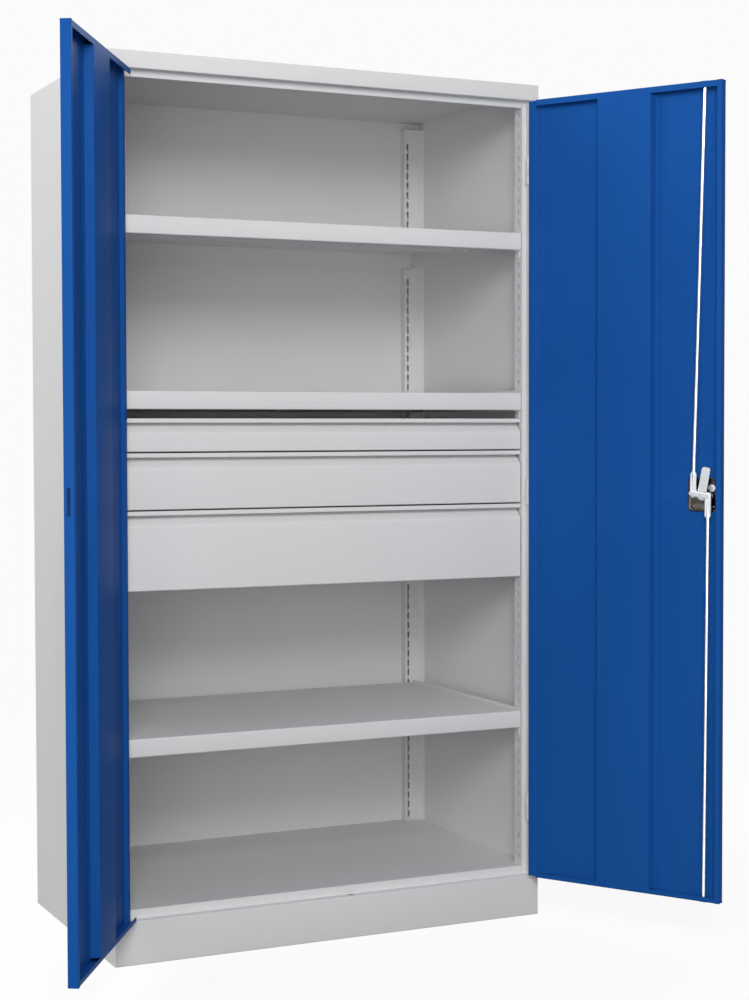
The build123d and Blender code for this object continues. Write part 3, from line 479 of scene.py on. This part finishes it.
class CabinetLight(bpy.types.PropertyGroup):
    """Light and background."""

    front: power_property("Front light", "Power of the wide soft lamp in front, in watts", 41.0)
    high: power_property("High light", "Power of the soft lamp high in front, in watts", 108.0)
    low: power_property("Low light", "Power of the soft lamp low in front left, in watts", 37.0)
    left: power_property("Left light", "Power of the soft lamp at the upper left, in watts", 22.0)
    rear: power_property("Rear light", "Power of the soft lamp behind the left, in watts", 88.0)
    right: power_property("Right light", "Power of the soft lamp behind the right, in watts", 80.0)
    room: bpy.props.FloatProperty(
        name="Room light", description="Strength of the light from all round", default=0.3, min=0.0
    )
    background: colour_property("Background", "Colour behind the cabinet", "#FBFBFB")


# Operators


class CabinetStep:
    """What every step of the cabinet shares."""

    bl_options = {"REGISTER", "UNDO"}

    def fold(self, context):
        """The folded sheet's thickness and the inner radius of its bends."""
        return context.scene.cabinet_sizes.sheet, context.scene.cabinet_sizes.bend


class CABINET_OT_finishes(CabinetStep, bpy.types.Operator):
    """Makes the paints, platings and plastics"""

    bl_idname = "cabinet.finishes"
    bl_label = "Finishes"

    def execute(self, context):
        user = context.scene.cabinet_colours
        for make, name, low, high, *values in (
            (powder_coat, "powder_coat_light_grey", user.body, "#DEDEDE", 0.42, 0.10, 0.35),
            (powder_coat, "powder_coat_gentian_blue", user.door, "#1B55A0", 0.40, 0.10, 0.02),
            (plated_steel, "bright_plated_steel", user.plating, "#F0F1F3", 0.22, 0.0012, 0.2),
            # Chrome whose dark colour is a painted reflection of dark surroundings.
            (plated_steel, "dark_chrome", user.case, "#3B3936", 0.12, 0.0012, 0.1),
            (plated_steel, "bright_zinc_plating", user.rods, "#FFFFFF", 0.30, 0.0016, 0.15),
            # Zinc plating, grey partly as painted shade on the cam's hub and the stop.
            (plated_steel, "zinc_plated_steel", user.zinc, "#B2B6BC", 0.34, 0.0016, 0.25),
            (galvanised_sheet, "galvanised_sheet", linear("#B4B8BC"), "#C6C9CC", (0.3, 0.48)),
            (moulded_nylon, "white_nylon", user.roller, "#DEDCD4", 0.42, 0.15),
            (moulded_nylon, "black_nylon", user.handle, "#222225", 0.5, 0.0),
        ):
            make(name, (low, linear(high)), *values)
        return {"FINISHED"}


class CABINET_OT_kept_parts(CabinetStep, bpy.types.Operator):
    """Gives the parts whose shape is already right their finish"""

    bl_idname = "cabinet.kept_parts"
    bl_label = "Posts, hinges and runners"

    def execute(self, context):
        finishes = {
            "lock_spindle": "bright_plated_steel",
            "key": "bright_plated_steel",
            "handle": "black_nylon",
            "drawer": "galvanised_sheet",
            "door": "powder_coat_gentian_blue",
        }
        for name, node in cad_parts.items():
            found = [finish for start, finish in finishes.items() if name.startswith(start)]
            material = bpy.data.materials[found[0] if found else "powder_coat_light_grey"]
            node.data.materials.clear()
            node.data.materials.append(material)
        return {"FINISHED"}


class CABINET_OT_side_panels(CabinetStep, bpy.types.Operator):
    """Folds both side panels: the wall, its front stile and its back return"""

    bl_idname = "cabinet.side_panels"
    bl_label = "Side panels"

    def execute(self, context):
        sheet, bend = self.fold(context)
        rear = [(505, BACK), (HALF_WIDTH, BACK)]
        stile = [(HALF_WIDTH, FRONT), (499, FRONT), (499, BEHIND_DOORS)]
        plain = bent_sheet(rear + [(HALF_WIDTH, FRONT + sheet)], sheet, bend)
        framed = bent_sheet(rear + stile, sheet, bend)
        rim = bent_sheet([(HALF_WIDTH, 300), (HALF_WIDTH, FRONT + sheet)], sheet)
        shells = [
            carried(plain, 0, PLINTH_TOP),
            carried(framed, PLINTH_TOP, ROOF_BOTTOM),
            carried(plain, ROOF_BOTTOM, ROOF_TOP - sheet),
            slab((498.8, BEHIND_DOORS, 0), (INNER_HALF, 254.5, sheet)),
            carried(rim, ROOF_TOP - sheet, ROOF_TOP),
        ]
        for side, flip in (("right", 1), ("left", -1)):
            place, panel = (np.zeros(3), np.diag((flip, 1.0, 1.0))), f"side_panel_{side}"
            make_piece(f"folded_side_{side}", shells, place, "cabinet", BODY_PAINT, panel)
        return {"FINISHED"}


class CABINET_OT_roof_and_plinth(CabinetStep, bpy.types.Operator):
    """Folds the roof cap with its front lip and rail, and the plinth with its ledge"""

    bl_idname = "cabinet.roof_and_plinth"
    bl_label = "Roof and plinth"

    def panel(self, fold, lines, slot, levels):
        """A panel as wide as the body, whole on both sides of a rod's slot and split along it.

        lines are its whole section and the two parts that are left beside the slot.
        """
        whole, *parts = [bent_sheet(line, *fold) for line in lines]
        shells = [
            carried(whole, -INNER_HALF, slot[0], ACROSS),
            *[carried(part, *slot, ACROSS) for part in parts],
            carried(whole, slot[1], INNER_HALF, ACROSS),
        ]
        for side in (-1, 1):
            ends = sorted((side * INNER_HALF, side * HALF_WIDTH))
            low, high = zip(ends, (FRONT, FRONT + fold[0]), levels)
            shells.append(slab(low, high))
        return shells

    def execute(self, context):
        fold = self.fold(context)
        slot_front, slot_rear = -302.5, -292.7
        front = [(FRONT, ROOF_BOTTOM), (FRONT, ROOF_TOP), (BACK, ROOF_TOP)]
        lines = (
            [(BEHIND_DOORS, ROOF_BOTTOM)] + front,
            [(BEHIND_DOORS, ROOF_BOTTOM), (slot_rear, ROOF_BOTTOM)],
            [(slot_front, ROOF_BOTTOM)] + front,
        )
        shells = self.panel(fold, lines, (36.7, 50.3), (ROOF_BOTTOM, ROOF_TOP))
        rail = [(-278.5, 1898), (BEHIND_DOORS, 1898), (BEHIND_DOORS, 1914.2)]
        shells.append(carried(bent_sheet(rail, *fold), -487.3, 487.3, ACROSS))
        make_piece("folded_roof", shells, CABINET, "cabinet", BODY_PAINT, "roof_cap")

        front = [(-291.7, 0), (FRONT, 0), (FRONT, PLINTH_TOP)]
        ledge = [(-270.5, PLINTH_TOP), (-270.5, 75)]
        lines = (
            front + ledge,
            front + [(slot_front, PLINTH_TOP)],
            [(slot_rear, PLINTH_TOP)] + ledge,
        )
        shells = self.panel(fold, lines, (32.2, 47.8), (0, PLINTH_TOP))
        make_piece("folded_plinth", shells, CABINET, "cabinet", BODY_PAINT, "plinth")
        return {"FINISHED"}


class CABINET_OT_shelves(CabinetStep, bpy.types.Operator):
    """Folds the three shelves, each with its side lips and the beam welded under it"""

    bl_idname = "cabinet.shelves"
    bl_label = "Shelves"

    def execute(self, context):
        sheet, bend = self.fold(context)
        lip, beam_depth = 6.5, 22
        for shelf in ("shelf_top", "shelf_middle", "shelf_bottom"):
            lowest, highest = part_box(shelf)
            low, high, half = lowest[2], highest[2], highest[0]
            front, rear = lowest[1], highest[1]
            tray = [(front + 22, low), (front, low), (front, high), (rear, high), (rear, low)]
            under, foot = high - sheet, high - beam_depth
            beam = [(27, under), (27, foot), (-29, foot), (-29, under)]
            shells = [
                carried(bent_sheet(tray, sheet, bend + 0.6), -half, half, ACROSS),
                carried(bent_sheet(beam, sheet, bend), -half + sheet, half - sheet, ACROSS),
            ]
            for side in (-1, 1):
                ends = sorted((side * half, side * (half - sheet)))
                for levels in ((low, under), (high - 0.2, high + lip)):
                    start, end = zip(ends, (front + 3, rear - 3), levels)
                    shells.append(slab(start, end, 0.2))
            make_piece(f"folded_{shelf}", shells, CABINET, "cabinet", BODY_PAINT, shelf)
        return {"FINISHED"}


class CABINET_OT_doors(CabinetStep, bpy.types.Operator):
    """Folds both door pans, with the lock's openings, and the wide stiffener inside each"""

    bl_idname = "cabinet.doors"
    bl_label = "Doors"

    def skin(self, side, sheet, bend):
        """The skin and both side flanges, carried up level by level past the openings."""
        hinge_edge = [(CUT_BACK, -sheet), (20, -HINGE_FLANGE), (0, -HINGE_FLANGE), (0, 0)]
        free_edge = [(DOOR_WIDTH, -DOOR_DEPTH), (LIP_END, -DOOR_DEPTH)]
        # The tongue swings through a slot in the free edge, and the spindle through a hole.
        to_slot = [(DOOR_WIDTH, 0), (DOOR_WIDTH, -6.75)]
        past_slot = [(DOOR_WIDTH, -13.25)] + free_edge
        hole = 12
        full = [hinge_edge + [(DOOR_WIDTH, 0)] + free_edge]
        slotted = [hinge_edge + to_slot, past_slot]
        drilled = [hinge_edge + [(LOCK_X - hole, 0)], [(LOCK_X + hole, 0)] + to_slot, past_slot]
        slot_low, slot_high = LOCK_HEIGHT - 15.0, LOCK_HEIGHT + 38.5
        between = [(slot_low, slot_high, slotted)]
        if side == "right":
            slot_high = LOCK_HEIGHT + 43.5
            between = [
                (slot_low, LOCK_HEIGHT - hole, slotted),
                (LOCK_HEIGHT - hole, LOCK_HEIGHT + hole, drilled),
                (LOCK_HEIGHT + hole, slot_high, slotted),
            ]
        # The side flanges run on past the skin's bends, up to the top and bottom flanges.
        corner = -bend - sheet - 0.2
        flanges = [hinge_edge[:-1] + [(0, corner)], [(DOOR_WIDTH, corner)] + free_edge]
        levels = [
            (DOOR_BOTTOM + NOTCH, slot_low, full),
            (slot_high, DOOR_TOP - NOTCH, full),
            *between,
            (DOOR_BOTTOM + sheet, DOOR_BOTTOM + NOTCH, flanges),
            (DOOR_TOP - NOTCH, DOOR_TOP - sheet, flanges),
        ]
        return [
            carried(bent_sheet(line, sheet, bend), low, high)
            for low, high, lines in levels
            for line in lines
        ]

    def flanges(self, side, sheet, bend):
        """The bottom and top flanges with their lips, carried across span by span."""
        shells = []
        # The guide slot is where a rod passes, and its two sides lap the spans beside it.
        half_slot, slot_front, lap = 8.8, -10.2, 0.1
        for edge, start, lip, to_free_edge in (
            (DOOR_BOTTOM, DOOR_BOTTOM + NOTCH, LIP_LEVELS[0], 38.5),
            (DOOR_TOP, DOOR_TOP - NOTCH, LIP_LEVELS[1], 42.0),
        ):
            outer = [(0, start), (0, edge)]
            inner = [(-DOOR_DEPTH, edge), (-DOOR_DEPTH, lip)]
            whole = outer + inner
            # Past the lip's end the plate lies on the free edge's return.
            plate = outer + [(-DOOR_DEPTH, edge)]
            spans = [(0, LIP_END, whole), (LIP_END, DOOR_WIDTH, plate)]
            if side == "right":
                middle = DOOR_WIDTH - to_free_edge
                near, far = middle - half_slot, middle + half_slot
                spans = [
                    (0, CUT_BACK, outer + [(-HINGE_FLANGE, edge)]),
                    (CUT_BACK, near, whole),
                    (near, far, outer + [(slot_front, edge)]),
                    (near - lap, far + lap, inner),
                    (far, LIP_END + lap, whole),
                    (LIP_END, DOOR_WIDTH, plate),
                ]
            for low, high, line in spans:
                section = bent_sheet(line if edge == DOOR_BOTTOM else line[::-1], sheet, bend)
                shells.append(carried(section, low, high, ACROSS))
        return shells

    def execute(self, context):
        sheet, bend = self.fold(context)
        crown = -DOOR_DEPTH + sheet
        hat = [(168, -sheet), (180, -sheet), (185, crown)]
        hat += [(315, crown), (320, -sheet), (332, -sheet)]
        for side, place in (("right", RIGHT_DOOR), ("left", LEFT_DOOR)):
            body, pan, stiffener = f"{side}_door", f"door_{side}_pan", f"door_{side}_stiffener"
            shells = self.skin(side, sheet, bend) + self.flanges(side, sheet, bend)
            make_piece(f"folded_door_{side}", shells, place, body, DOOR_PAINT, pan)
            shells = [carried(bent_sheet(hat, sheet, 2.0), *LIP_LEVELS)]
            make_piece(f"hat_stiffener_{side}", shells, place, body, DOOR_PAINT, stiffener)
        return {"FINISHED"}


class CABINET_OT_lock_case(CabinetStep, bpy.types.Operator):
    """Presses the lock's case, with its rim and stop boss, and turns its four screws"""

    bl_idname = "cabinet.lock_case"
    bl_label = "Lock case"

    def execute(self, context):
        # The case and its screws are chrome, darkened in colour as a painted reflection.
        outline = rounded(rectangle(-35, -37, 35, 37), 9)
        rim = [(0, 1.2), (0, 4.0), (0.7, 4.7), (2.2, 4.7), (3.2, 3.9), (4.4, 3.2)]
        case = stamped(outline, rim, FREE_HOLE)
        make_piece("pressed_lock_case", [case], LOCK, "right_door", LOCK_PAINTED_REFLECTION, "lock_case")
        # The stop's zinc grey is partly painted shade.
        stop = [(0, 8.2), (6.4, 8.2), (8.0, 7.7), (8.8, 6.4), (9.2, 4.2), (9.4, 3.0), (0, 3.0)]
        stop = turned(stop, at=(23, 15, 0))
        make_piece("turned_lock_stop", [stop], LOCK, "right_door", LOCK_ZINC_AND_SHADE)
        head = [(0, 4.4), (1.2, 4.5), (1.6, 5.2), (2.6, 5.1)]
        head += [(3.6, 4.5), (4.0, 3.6), (4.0, 3.2), (0, 3.2)]
        heads = [turned(head, at=(x, y, 0)) for x in (-24, 24) for y in (-27, 27)]
        make_piece("domed_case_screws", heads, LOCK, "right_door", LOCK_PAINTED_REFLECTION, "lock_case_screws")
        return {"FINISHED"}


class CABINET_OT_cam_and_tongue(CabinetStep, bpy.types.Operator):
    """Cuts the lock's cam and swinging tongue and turns its crank pins and clamp screw"""

    bl_idname = "cabinet.cam_and_tongue"
    bl_label = "Cam and tongue"

    def execute(self, context):
        # The cam's outline is, in each direction, the farther of its hub and its two-armed bar.
        hub, arm = 13.0, 8.0
        angle = np.linspace(0, 2 * np.pi, 96, endpoint=False)
        across, along = np.abs(np.sin(angle)), np.abs(np.cos(angle))
        flat = arm / np.maximum(across, 1e-6)
        tip = CRANK * along + np.sqrt(np.maximum(arm**2 - (CRANK * across) ** 2, 0))
        reach = np.maximum(hub, np.where(flat * along <= CRANK, flat, tip))
        outline = swung(reach[:, None] * np.stack((np.cos(angle), np.sin(angle)), 1), CAM_LEAN)
        cam = stamped(outline, [(0, 5.5), (0, 8.1), (0.4, 8.5)], FITTED_HOLE)
        pin = [(0, 18.3), (2.2, 18.3), (2.8, 18.0), (3.0, 17.5), (3.0, 8.0), (0, 8.0)]
        cranks = swung([(-CRANK, 0), (CRANK, 0)], CAM_LEAN)
        pins = [turned(pin, at=(*crank, 0)) for crank in cranks]
        # The cam's zinc grey is partly painted shade on its hub.
        make_piece("cut_lock_cam", [cam] + pins, LOCK, "lock_turn", LOCK_ZINC_AND_SHADE, "lock_cam")

        # A plate over both crank pins holds the forks on. It reaches further on the left.
        outline = swung(rounded(rectangle(-28, -6, 24, 6), 5.9, 12), CAM_LEAN)
        cut = [(0, 18.3), (0, 19.1), (0.4, 19.6), (1.4, 19.9), (2.6, 19.9)]
        keeper = stamped(outline, cut, ((0, 0), 2.0))
        make_piece("pressed_fork_keeper", [keeper], LOCK, "lock_turn", LOCK_BRIGHT)

        # The tongue swings a little further over than the cam that it is clamped to.
        outline = rounded(rectangle(-10.5, -10.5, 10.5, 62), (10.4, 10.4, 6, 6), 12)
        cut = [(0, 8.5), (0, 11.0), (0.5, 11.5)]
        tongue = stamped(swung(outline, TONGUE_LEAN), cut, FITTED_HOLE)
        make_piece("cut_lock_tongue", [tongue], LOCK, "lock_turn", LOCK_BRIGHT, "lock_tongue")

        head = [(0, 14.5), (4.6, 14.5), (5.9, 13.9), (6.0, 11.5), (0, 11.5)]
        screw = turned(head, 6)
        make_piece("hexagon_cam_screw", [screw], LOCK, "lock_turn", LOCK_ZINC_AND_SHADE, "cam_screw")
        return {"FINISHED"}


class CABINET_OT_rods(CabinetStep, bpy.types.Operator):
    """Makes both locking rods, each a flat fork on its crank pin and a round bar"""

    bl_idname = "cabinet.rods"
    bl_label = "Locking rods"

    def execute(self, context):
        origin, axes = LOCK
        level = 15.0
        corners = [(-8.5, -7), (43, -7), (49, -4), (49, 4), (43, 7), (-8.5, 7)]
        outline = rounded(corners, (6.9, 3, 1, 1, 3, 6.9), 6)
        cut = [(0.6, -3.0), (0, -2.4), (0, 2.4), (0.6, 3.0)]
        fork = stamped(outline, cut, ((0, 0), 3.05))
        left, right = swung([(-CRANK, 0), (CRANK, 0)], CAM_LEAN)
        for name, body, start, end in (
            ("upper", "rod_up", left, (7.5, 905.5)),
            ("lower", "rod_down", right, (11.0, -903.9)),
        ):
            run = np.array(end) - start
            length = np.hypot(*run)
            along = run / length @ axes[:2]
            place = (
                origin + start @ axes[:2] + level * axes[2],
                np.array((along, np.cross(axes[2], along), axes[2])),
            )
            bar = [(0, 41), (2.6, 41), (3.4, 43), (4, 48)]
            bar += [(4, length - 1.5), (2.8, length - 0.2), (0, length)]
            shells = [fork, turned(bar, 20, order=ACROSS)]
            make_piece(f"forged_{name}_rod", shells, place, body, ROD_ZINC, f"{name}_rod")
        return {"FINISHED"}


class CABINET_OT_escutcheon(CabinetStep, bpy.types.Operator):
    """Moulds the plate under the handle, with a crowned edge and a raised border"""

    bl_idname = "cabinet.escutcheon"
    bl_label = "Escutcheon"

    def execute(self, context):
        outline = rounded(rectangle(-28, -60, 28, 60), 14, 10)
        crown = [(0, 0), (0, -3.4), (0.5, -4.8), (1.6, -5.7)]
        crown += [(3.0, -6.0), (5.0, -6.0), (5.8, -5.4)]
        plate = stamped(outline, crown, FREE_HOLE)
        look, name = HANDLE_PLASTIC, "handle_escutcheon"
        make_piece("moulded_escutcheon", [plate], LOCK, "right_door", look, name)
        return {"FINISHED"}


class CABINET_OT_drawer_fronts(CabinetStep, bpy.types.Operator):
    """Rolls the drawer fronts, whose top edge is folded over into a finger grip"""

    bl_idname = "cabinet.drawer_fronts"
    bl_label = "Drawer fronts"

    def execute(self, context):
        sheet, _ = self.fold(context)
        for number in DRAWERS:
            name = f"drawer_{number}_front"
            lowest, highest = part_box(name)
            face, low, high, half = lowest[1], lowest[2], highest[2], highest[0]
            inside, rear = face + sheet, face + 25
            profile = [(face, high - 9), (face, high), (rear, high), (rear, high - 10)]
            profile += [(inside, high - 33), (inside, low + sheet), (rear, low + sheet)]
            section = bent_sheet(profile, sheet, (1.6, 1.6, 4.0, 9.0, 1.4), 7)
            shells = [carried(section, -half, half, ACROSS)]
            body = f"drawer_{number}"
            make_piece(f"rolled_front_{number}", shells, CABINET, body, BODY_PAINT, name)
        return {"FINISHED"}


class CABINET_OT_drawer_trays(CabinetStep, bpy.types.Operator):
    """Presses the drawer trays, with upright ribs and a crease along both sides"""

    bl_idname = "cabinet.drawer_trays"
    bl_label = "Drawer trays"

    def ribbed_side(self, lowest, highest, half, depth):
        """The right side's outer face, low to high and back to front.

        A rib's height is half a cosine wave across it, faded in and out over 4 mm at its ends.
        The crease is half a cosine wave 5 mm high. The higher of both stands.
        """
        ribs, pitch, rib_width, fade, crease_width = 17, 30.0, 13.0, 4.0, 5.0
        low, high, front, rear = lowest[2], highest[2], lowest[1], highest[1]
        crease = low + 0.42 * (high - low)
        tall = min(30.0, 2 * (crease - low) - 5.0)
        y = np.linspace(rear, front, ribs * 12 + 18)
        level = np.unique(
            np.concatenate(
                (
                    np.linspace(low, high, 7),
                    np.linspace(crease - tall / 2, crease - tall / 2 + fade, 4),
                    np.linspace(crease + tall / 2 - fade, crease + tall / 2, 4),
                    np.linspace(crease - crease_width / 2, crease + crease_width / 2, 7),
                )
            )
        )
        from_middle = y - (front + rear) / 2
        phase = (from_middle + pitch / 2) % pitch - pitch / 2
        ribbed = (np.abs(from_middle) < ribs / 2 * pitch) & (np.abs(phase) < rib_width / 2)
        wave = np.where(ribbed, np.cos(np.pi * phase / rib_width), 0.0)
        ends = np.clip((tall / 2 - np.abs(level - crease)) / fade, 0.0, 1.0)
        rib = depth * np.sqrt(np.clip(wave, 0, 1))[None] * (ends * (2 - ends))[:, None]
        bead = 1.5 * np.cos(np.pi * np.clip((level - crease) / crease_width, -0.5, 0.5))
        proud = np.maximum(rib, bead[:, None])
        return np.stack((half + proud, *np.broadcast_arrays(y, level[:, None])), -1)

    def execute(self, context):
        half, wall = 470.0, 1.0
        for number in DRAWERS:
            name = f"drawer_{number}_tray"
            lowest, highest = part_box(name)
            low, front, rear = lowest[2], lowest[1], highest[1]
            side = self.ribbed_side(lowest, highest, half, context.scene.cabinet_sizes.rib_depth)
            # Each ring goes up one side, round the back and down the other, then inside again.
            outer = np.concatenate((side, side[:, ::-1] * FLIP), 1)
            inner = outer.copy()
            inner[..., 0] -= wall * np.sign(outer[..., 0])
            inner[..., 1] = np.clip(inner[..., 1], front + wall, rear - wall)
            inner[..., 2] = np.maximum(inner[..., 2], low + wall)
            base = np.zeros((1, outer.shape[1], 3))
            base[..., 1:] = (front + rear) / 2, low
            floor = base + (0, 0, wall)
            rings = np.concatenate((base, outer, inner[::-1], floor))
            shells = [(rings.reshape(-1, 3), quads(*rings.shape[:2], False, True))]
            body = f"drawer_{number}"
            make_piece(f"ribbed_tray_{number}", shells, CABINET, body, TRAY_PAINT, name)
        return {"FINISHED"}


class CABINET_OT_rollers(CabinetStep, bpy.types.Operator):
    """Turns the drawers' rollers, each with rounded rims, a hub and a dished web"""

    bl_idname = "cabinet.rollers"
    bl_label = "Rollers"

    def execute(self, context):
        outer, width, bore = 485.0, 14.0, 2.55
        tyre = [
            (bore, 0), (4.6, 0), (4.9, 1.6), (6.8, 1.6), (7.1, 0.2), (7.9, 0.2), (8.5, 1.0),
            (8.5, 13.0), (7.9, 13.8), (7.1, 13.8), (6.8, 12.4), (4.9, 12.4), (4.6, 14), (bore, 14),
        ]
        for number in DRAWERS:
            for end in ("front", "rear"):
                name = f"drawer_{number}_{end}_rollers"
                lowest, highest = part_box(name)
                _, y, z = (lowest + highest) / 2
                shells = [
                    turned(tyre, 32, True, (x, y, z), ACROSS) for x in (outer - width, -outer)
                ]
                body = f"{end}_rollers_{number}"
                piece = f"turned_{end}_rollers_{number}"
                make_piece(piece, shells, CABINET, body, ROLLER_NYLON, name)
        return {"FINISHED"}


def seen_directly(tree):
    """1 for a camera, glossy or transmission ray, and 0 for the light on the cabinet."""
    path = add_node(tree, "ShaderNodeLightPath").outputs
    seen = path["Is Camera Ray"]
    for ray in ("Is Glossy Ray", "Is Transmission Ray"):
        either = add_node(tree, "ShaderNodeMath", {0: seen, 1: path[ray]}, operation="MAXIMUM")
        seen = either.outputs[0]
    return seen


def looking(right, forward, at):
    """The matrix of a lamp or camera that looks forward from a point."""
    turn = np.eye(4)
    turn[:3, 0], turn[:3, 1], turn[:3, 2] = right, np.cross(right, forward), -forward
    turn[:3, 3] = at
    return Matrix(turn.tolist())


class CABINET_OT_stage(CabinetStep, bpy.types.Operator):
    """Sets the floor, the soft lamps, the room's light and the camera"""

    bl_idname = "cabinet.stage"
    bl_label = "Floor, light and camera"

    def paper(self, light):
        """Floor paper: matt grey to the light, and pale where it is seen directly.

        There it is mostly glow, with a little lit white that keeps the cabinet's shadow. Away
        from the cabinet it fades into the background's colour, so that no horizon shows.
        """
        paper = bpy.data.materials.new("pale_studio_paper")
        paper.use_nodes = True
        tree = paper.node_tree
        tree.nodes.clear()
        place = add_node(tree, "ShaderNodeTexCoord").outputs["Object"]
        away = add_node(tree, "ShaderNodeVectorMath", {0: place}, operation="LENGTH")
        fade = add_node(
            tree,
            "ShaderNodeMapRange",
            {"Value": away.outputs["Value"], "From Min": 0.9, "From Max": 3.2},
            interpolation_type="SMOOTHSTEP",
        ).outputs["Result"]
        matt = add_node(tree, "ShaderNodeBsdfDiffuse", {"Color": linear("#6A6A6A")}).outputs[0]
        lit = add_node(tree, "ShaderNodeBsdfDiffuse", {"Color": linear("#FFFFFF")}).outputs[0]
        glow = {"Color": linear("#FFFFFF"), "Strength": 1.025}
        glow = add_node(tree, "ShaderNodeEmission", glow).outputs[0]
        behind = {"Color": light.background, "Strength": 1.0}
        behind = add_node(tree, "ShaderNodeEmission", behind).outputs[0]
        near = add_node(tree, "ShaderNodeMixShader", {0: 0.85, 1: lit, 2: glow}).outputs[0]
        faded = add_node(tree, "ShaderNodeMixShader", {0: fade, 1: near, 2: behind}).outputs[0]
        seen = seen_directly(tree)
        surface = add_node(tree, "ShaderNodeMixShader", {0: seen, 1: matt, 2: faded}).outputs[0]
        add_node(tree, "ShaderNodeOutputMaterial", {"Surface": surface})
        return paper

    def floor(self, context):
        """A flat disc, radius times the cosine and sine of the angle."""
        radius = np.linspace(0, 9000, 10)
        mesh = skin_of([turned(np.stack((radius, 0 * radius), 1), 64)], CABINET)
        mesh.name = "studio_floor"
        if mesh.polygons[0].normal.z < 0:
            mesh.flip_normals()
        mesh.materials.append(self.paper(context.scene.cabinet_light))
        floor = bpy.data.objects.new("studio_floor", mesh)
        context.scene.collection.objects.link(floor)

    def room(self, context):
        """An even white light from all round, behind which the background's colour is seen."""
        light = context.scene.cabinet_light
        world = bpy.data.worlds.new("studio_room")
        world.use_nodes = True
        tree = world.node_tree
        tree.nodes.clear()
        room = {"Color": linear("#FFFFFF"), "Strength": light.room}
        room = add_node(tree, "ShaderNodeBackground", room).outputs[0]
        behind = {"Color": light.background, "Strength": 1.0}
        behind = add_node(tree, "ShaderNodeBackground", behind).outputs[0]
        seen = seen_directly(tree)
        mixed = add_node(tree, "ShaderNodeMixShader", {0: seen, 1: room, 2: behind}).outputs[0]
        add_node(tree, "ShaderNodeOutputWorld", {"Surface": mixed})
        context.scene.world = world

    def lamps(self, context):
        """Square soft lamps, all aimed at the cabinet's middle. Sizes and places in metres."""
        light = context.scene.cabinet_light
        for name, power, size, at in (
            ("front_softbox", light.front, 3.0, (-1.8, -5.2, 1.8)),
            ("high_softbox", light.high, 1.6, (-1.6, -4.6, 3.0)),
            ("low_softbox", light.low, 2.0, (-2.6, -4.4, 0.7)),
            ("left_softbox", light.left, 2.2, (-3.8, -2.0, 3.2)),
            ("rear_softbox", light.rear, 2.0, (-4.0, 1.4, 3.4)),
            ("right_softbox", light.right, 2.6, (4.2, 2.6, 2.4)),
        ):
            lamp = bpy.data.lights.new(name, "AREA")
            lamp.energy, lamp.size = power, size
            holder = bpy.data.objects.new(name, lamp)
            context.scene.collection.objects.link(holder)
            aim = np.array((0.0, -0.2, 0.95)) - at
            aim /= np.linalg.norm(aim)
            side = np.cross(aim, UP)
            holder.matrix_world = looking(side / np.linalg.norm(side), aim, at)

    def camera(self, context):
        """Yaw, pitch and roll about the eye, found from the cabinet's straight edges."""
        yaw, pitch, roll = np.radians((25.33, -2.116, -0.133))
        heading = np.array((np.sin(yaw), np.cos(yaw), 0.0))
        forward = np.cos(pitch) * heading + np.sin(pitch) * UP
        level = np.cross(heading, UP)
        right = np.cos(roll) * level + np.sin(roll) * np.cross(level, forward)
        camera = bpy.data.objects.new("camera", bpy.data.cameras.new("camera"))
        camera.data.lens, camera.data.sensor_width, camera.data.clip_end = 68.24, 36.0, 60.0
        eye = np.array((-1733.55, -4174.47, 1147.48)) * MM
        camera.matrix_world = looking(right, forward, eye)
        context.scene.collection.objects.link(camera)
        context.scene.camera = camera

    def execute(self, context):
        self.floor(context)
        self.room(context)
        self.lamps(context)
        self.camera(context)
        context.scene.view_settings.view_transform = "Standard"
        return {"FINISHED"}


class CABINET_PT_steps(bpy.types.Panel):
    """The cabinet's steps, sizes, colours and light"""

    bl_idname = "CABINET_PT_steps"
    bl_label = "Storage cabinet"
    bl_space_type = "VIEW_3D"
    bl_region_type = "UI"
    bl_category = "Cabinet"

    def draw(self, context):
        for group, _ in GROUPS:
            box = self.layout.box()
            values = getattr(context.scene, group)
            for key in values.__annotations__:
                box.prop(values, key)
        for step in STEPS:
            self.layout.operator(step.bl_idname)


GROUPS = (
    ("cabinet_sizes", CabinetSizes),
    ("cabinet_colours", CabinetColours),
    ("cabinet_light", CabinetLight),
)
STEPS = (
    CABINET_OT_finishes,
    CABINET_OT_kept_parts,
    CABINET_OT_side_panels,
    CABINET_OT_roof_and_plinth,
    CABINET_OT_shelves,
    CABINET_OT_doors,
    CABINET_OT_lock_case,
    CABINET_OT_cam_and_tongue,
    CABINET_OT_rods,
    CABINET_OT_escutcheon,
    CABINET_OT_drawer_fronts,
    CABINET_OT_drawer_trays,
    CABINET_OT_rollers,
    CABINET_OT_stage,
)


def register():
    """Registers the groups, steps and panel."""
    for name, group in GROUPS:
        bpy.utils.register_class(group)
        setattr(bpy.types.Scene, name, bpy.props.PointerProperty(type=group))
    for step in (*STEPS, CABINET_PT_steps):
        bpy.utils.register_class(step)


def unregister():
    """Takes them out again."""
    for step in (*STEPS, CABINET_PT_steps):
        bpy.utils.unregister_class(step)
    for name, group in GROUPS:
        delattr(bpy.types.Scene, name)
        bpy.utils.unregister_class(group)


def main():
    """Runs every step in order."""
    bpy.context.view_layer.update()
    register()
    for step in STEPS:
        group, name = step.bl_idname.split(".")
        getattr(getattr(bpy.ops, group), name)()


if __name__ == "__main__":
    main()
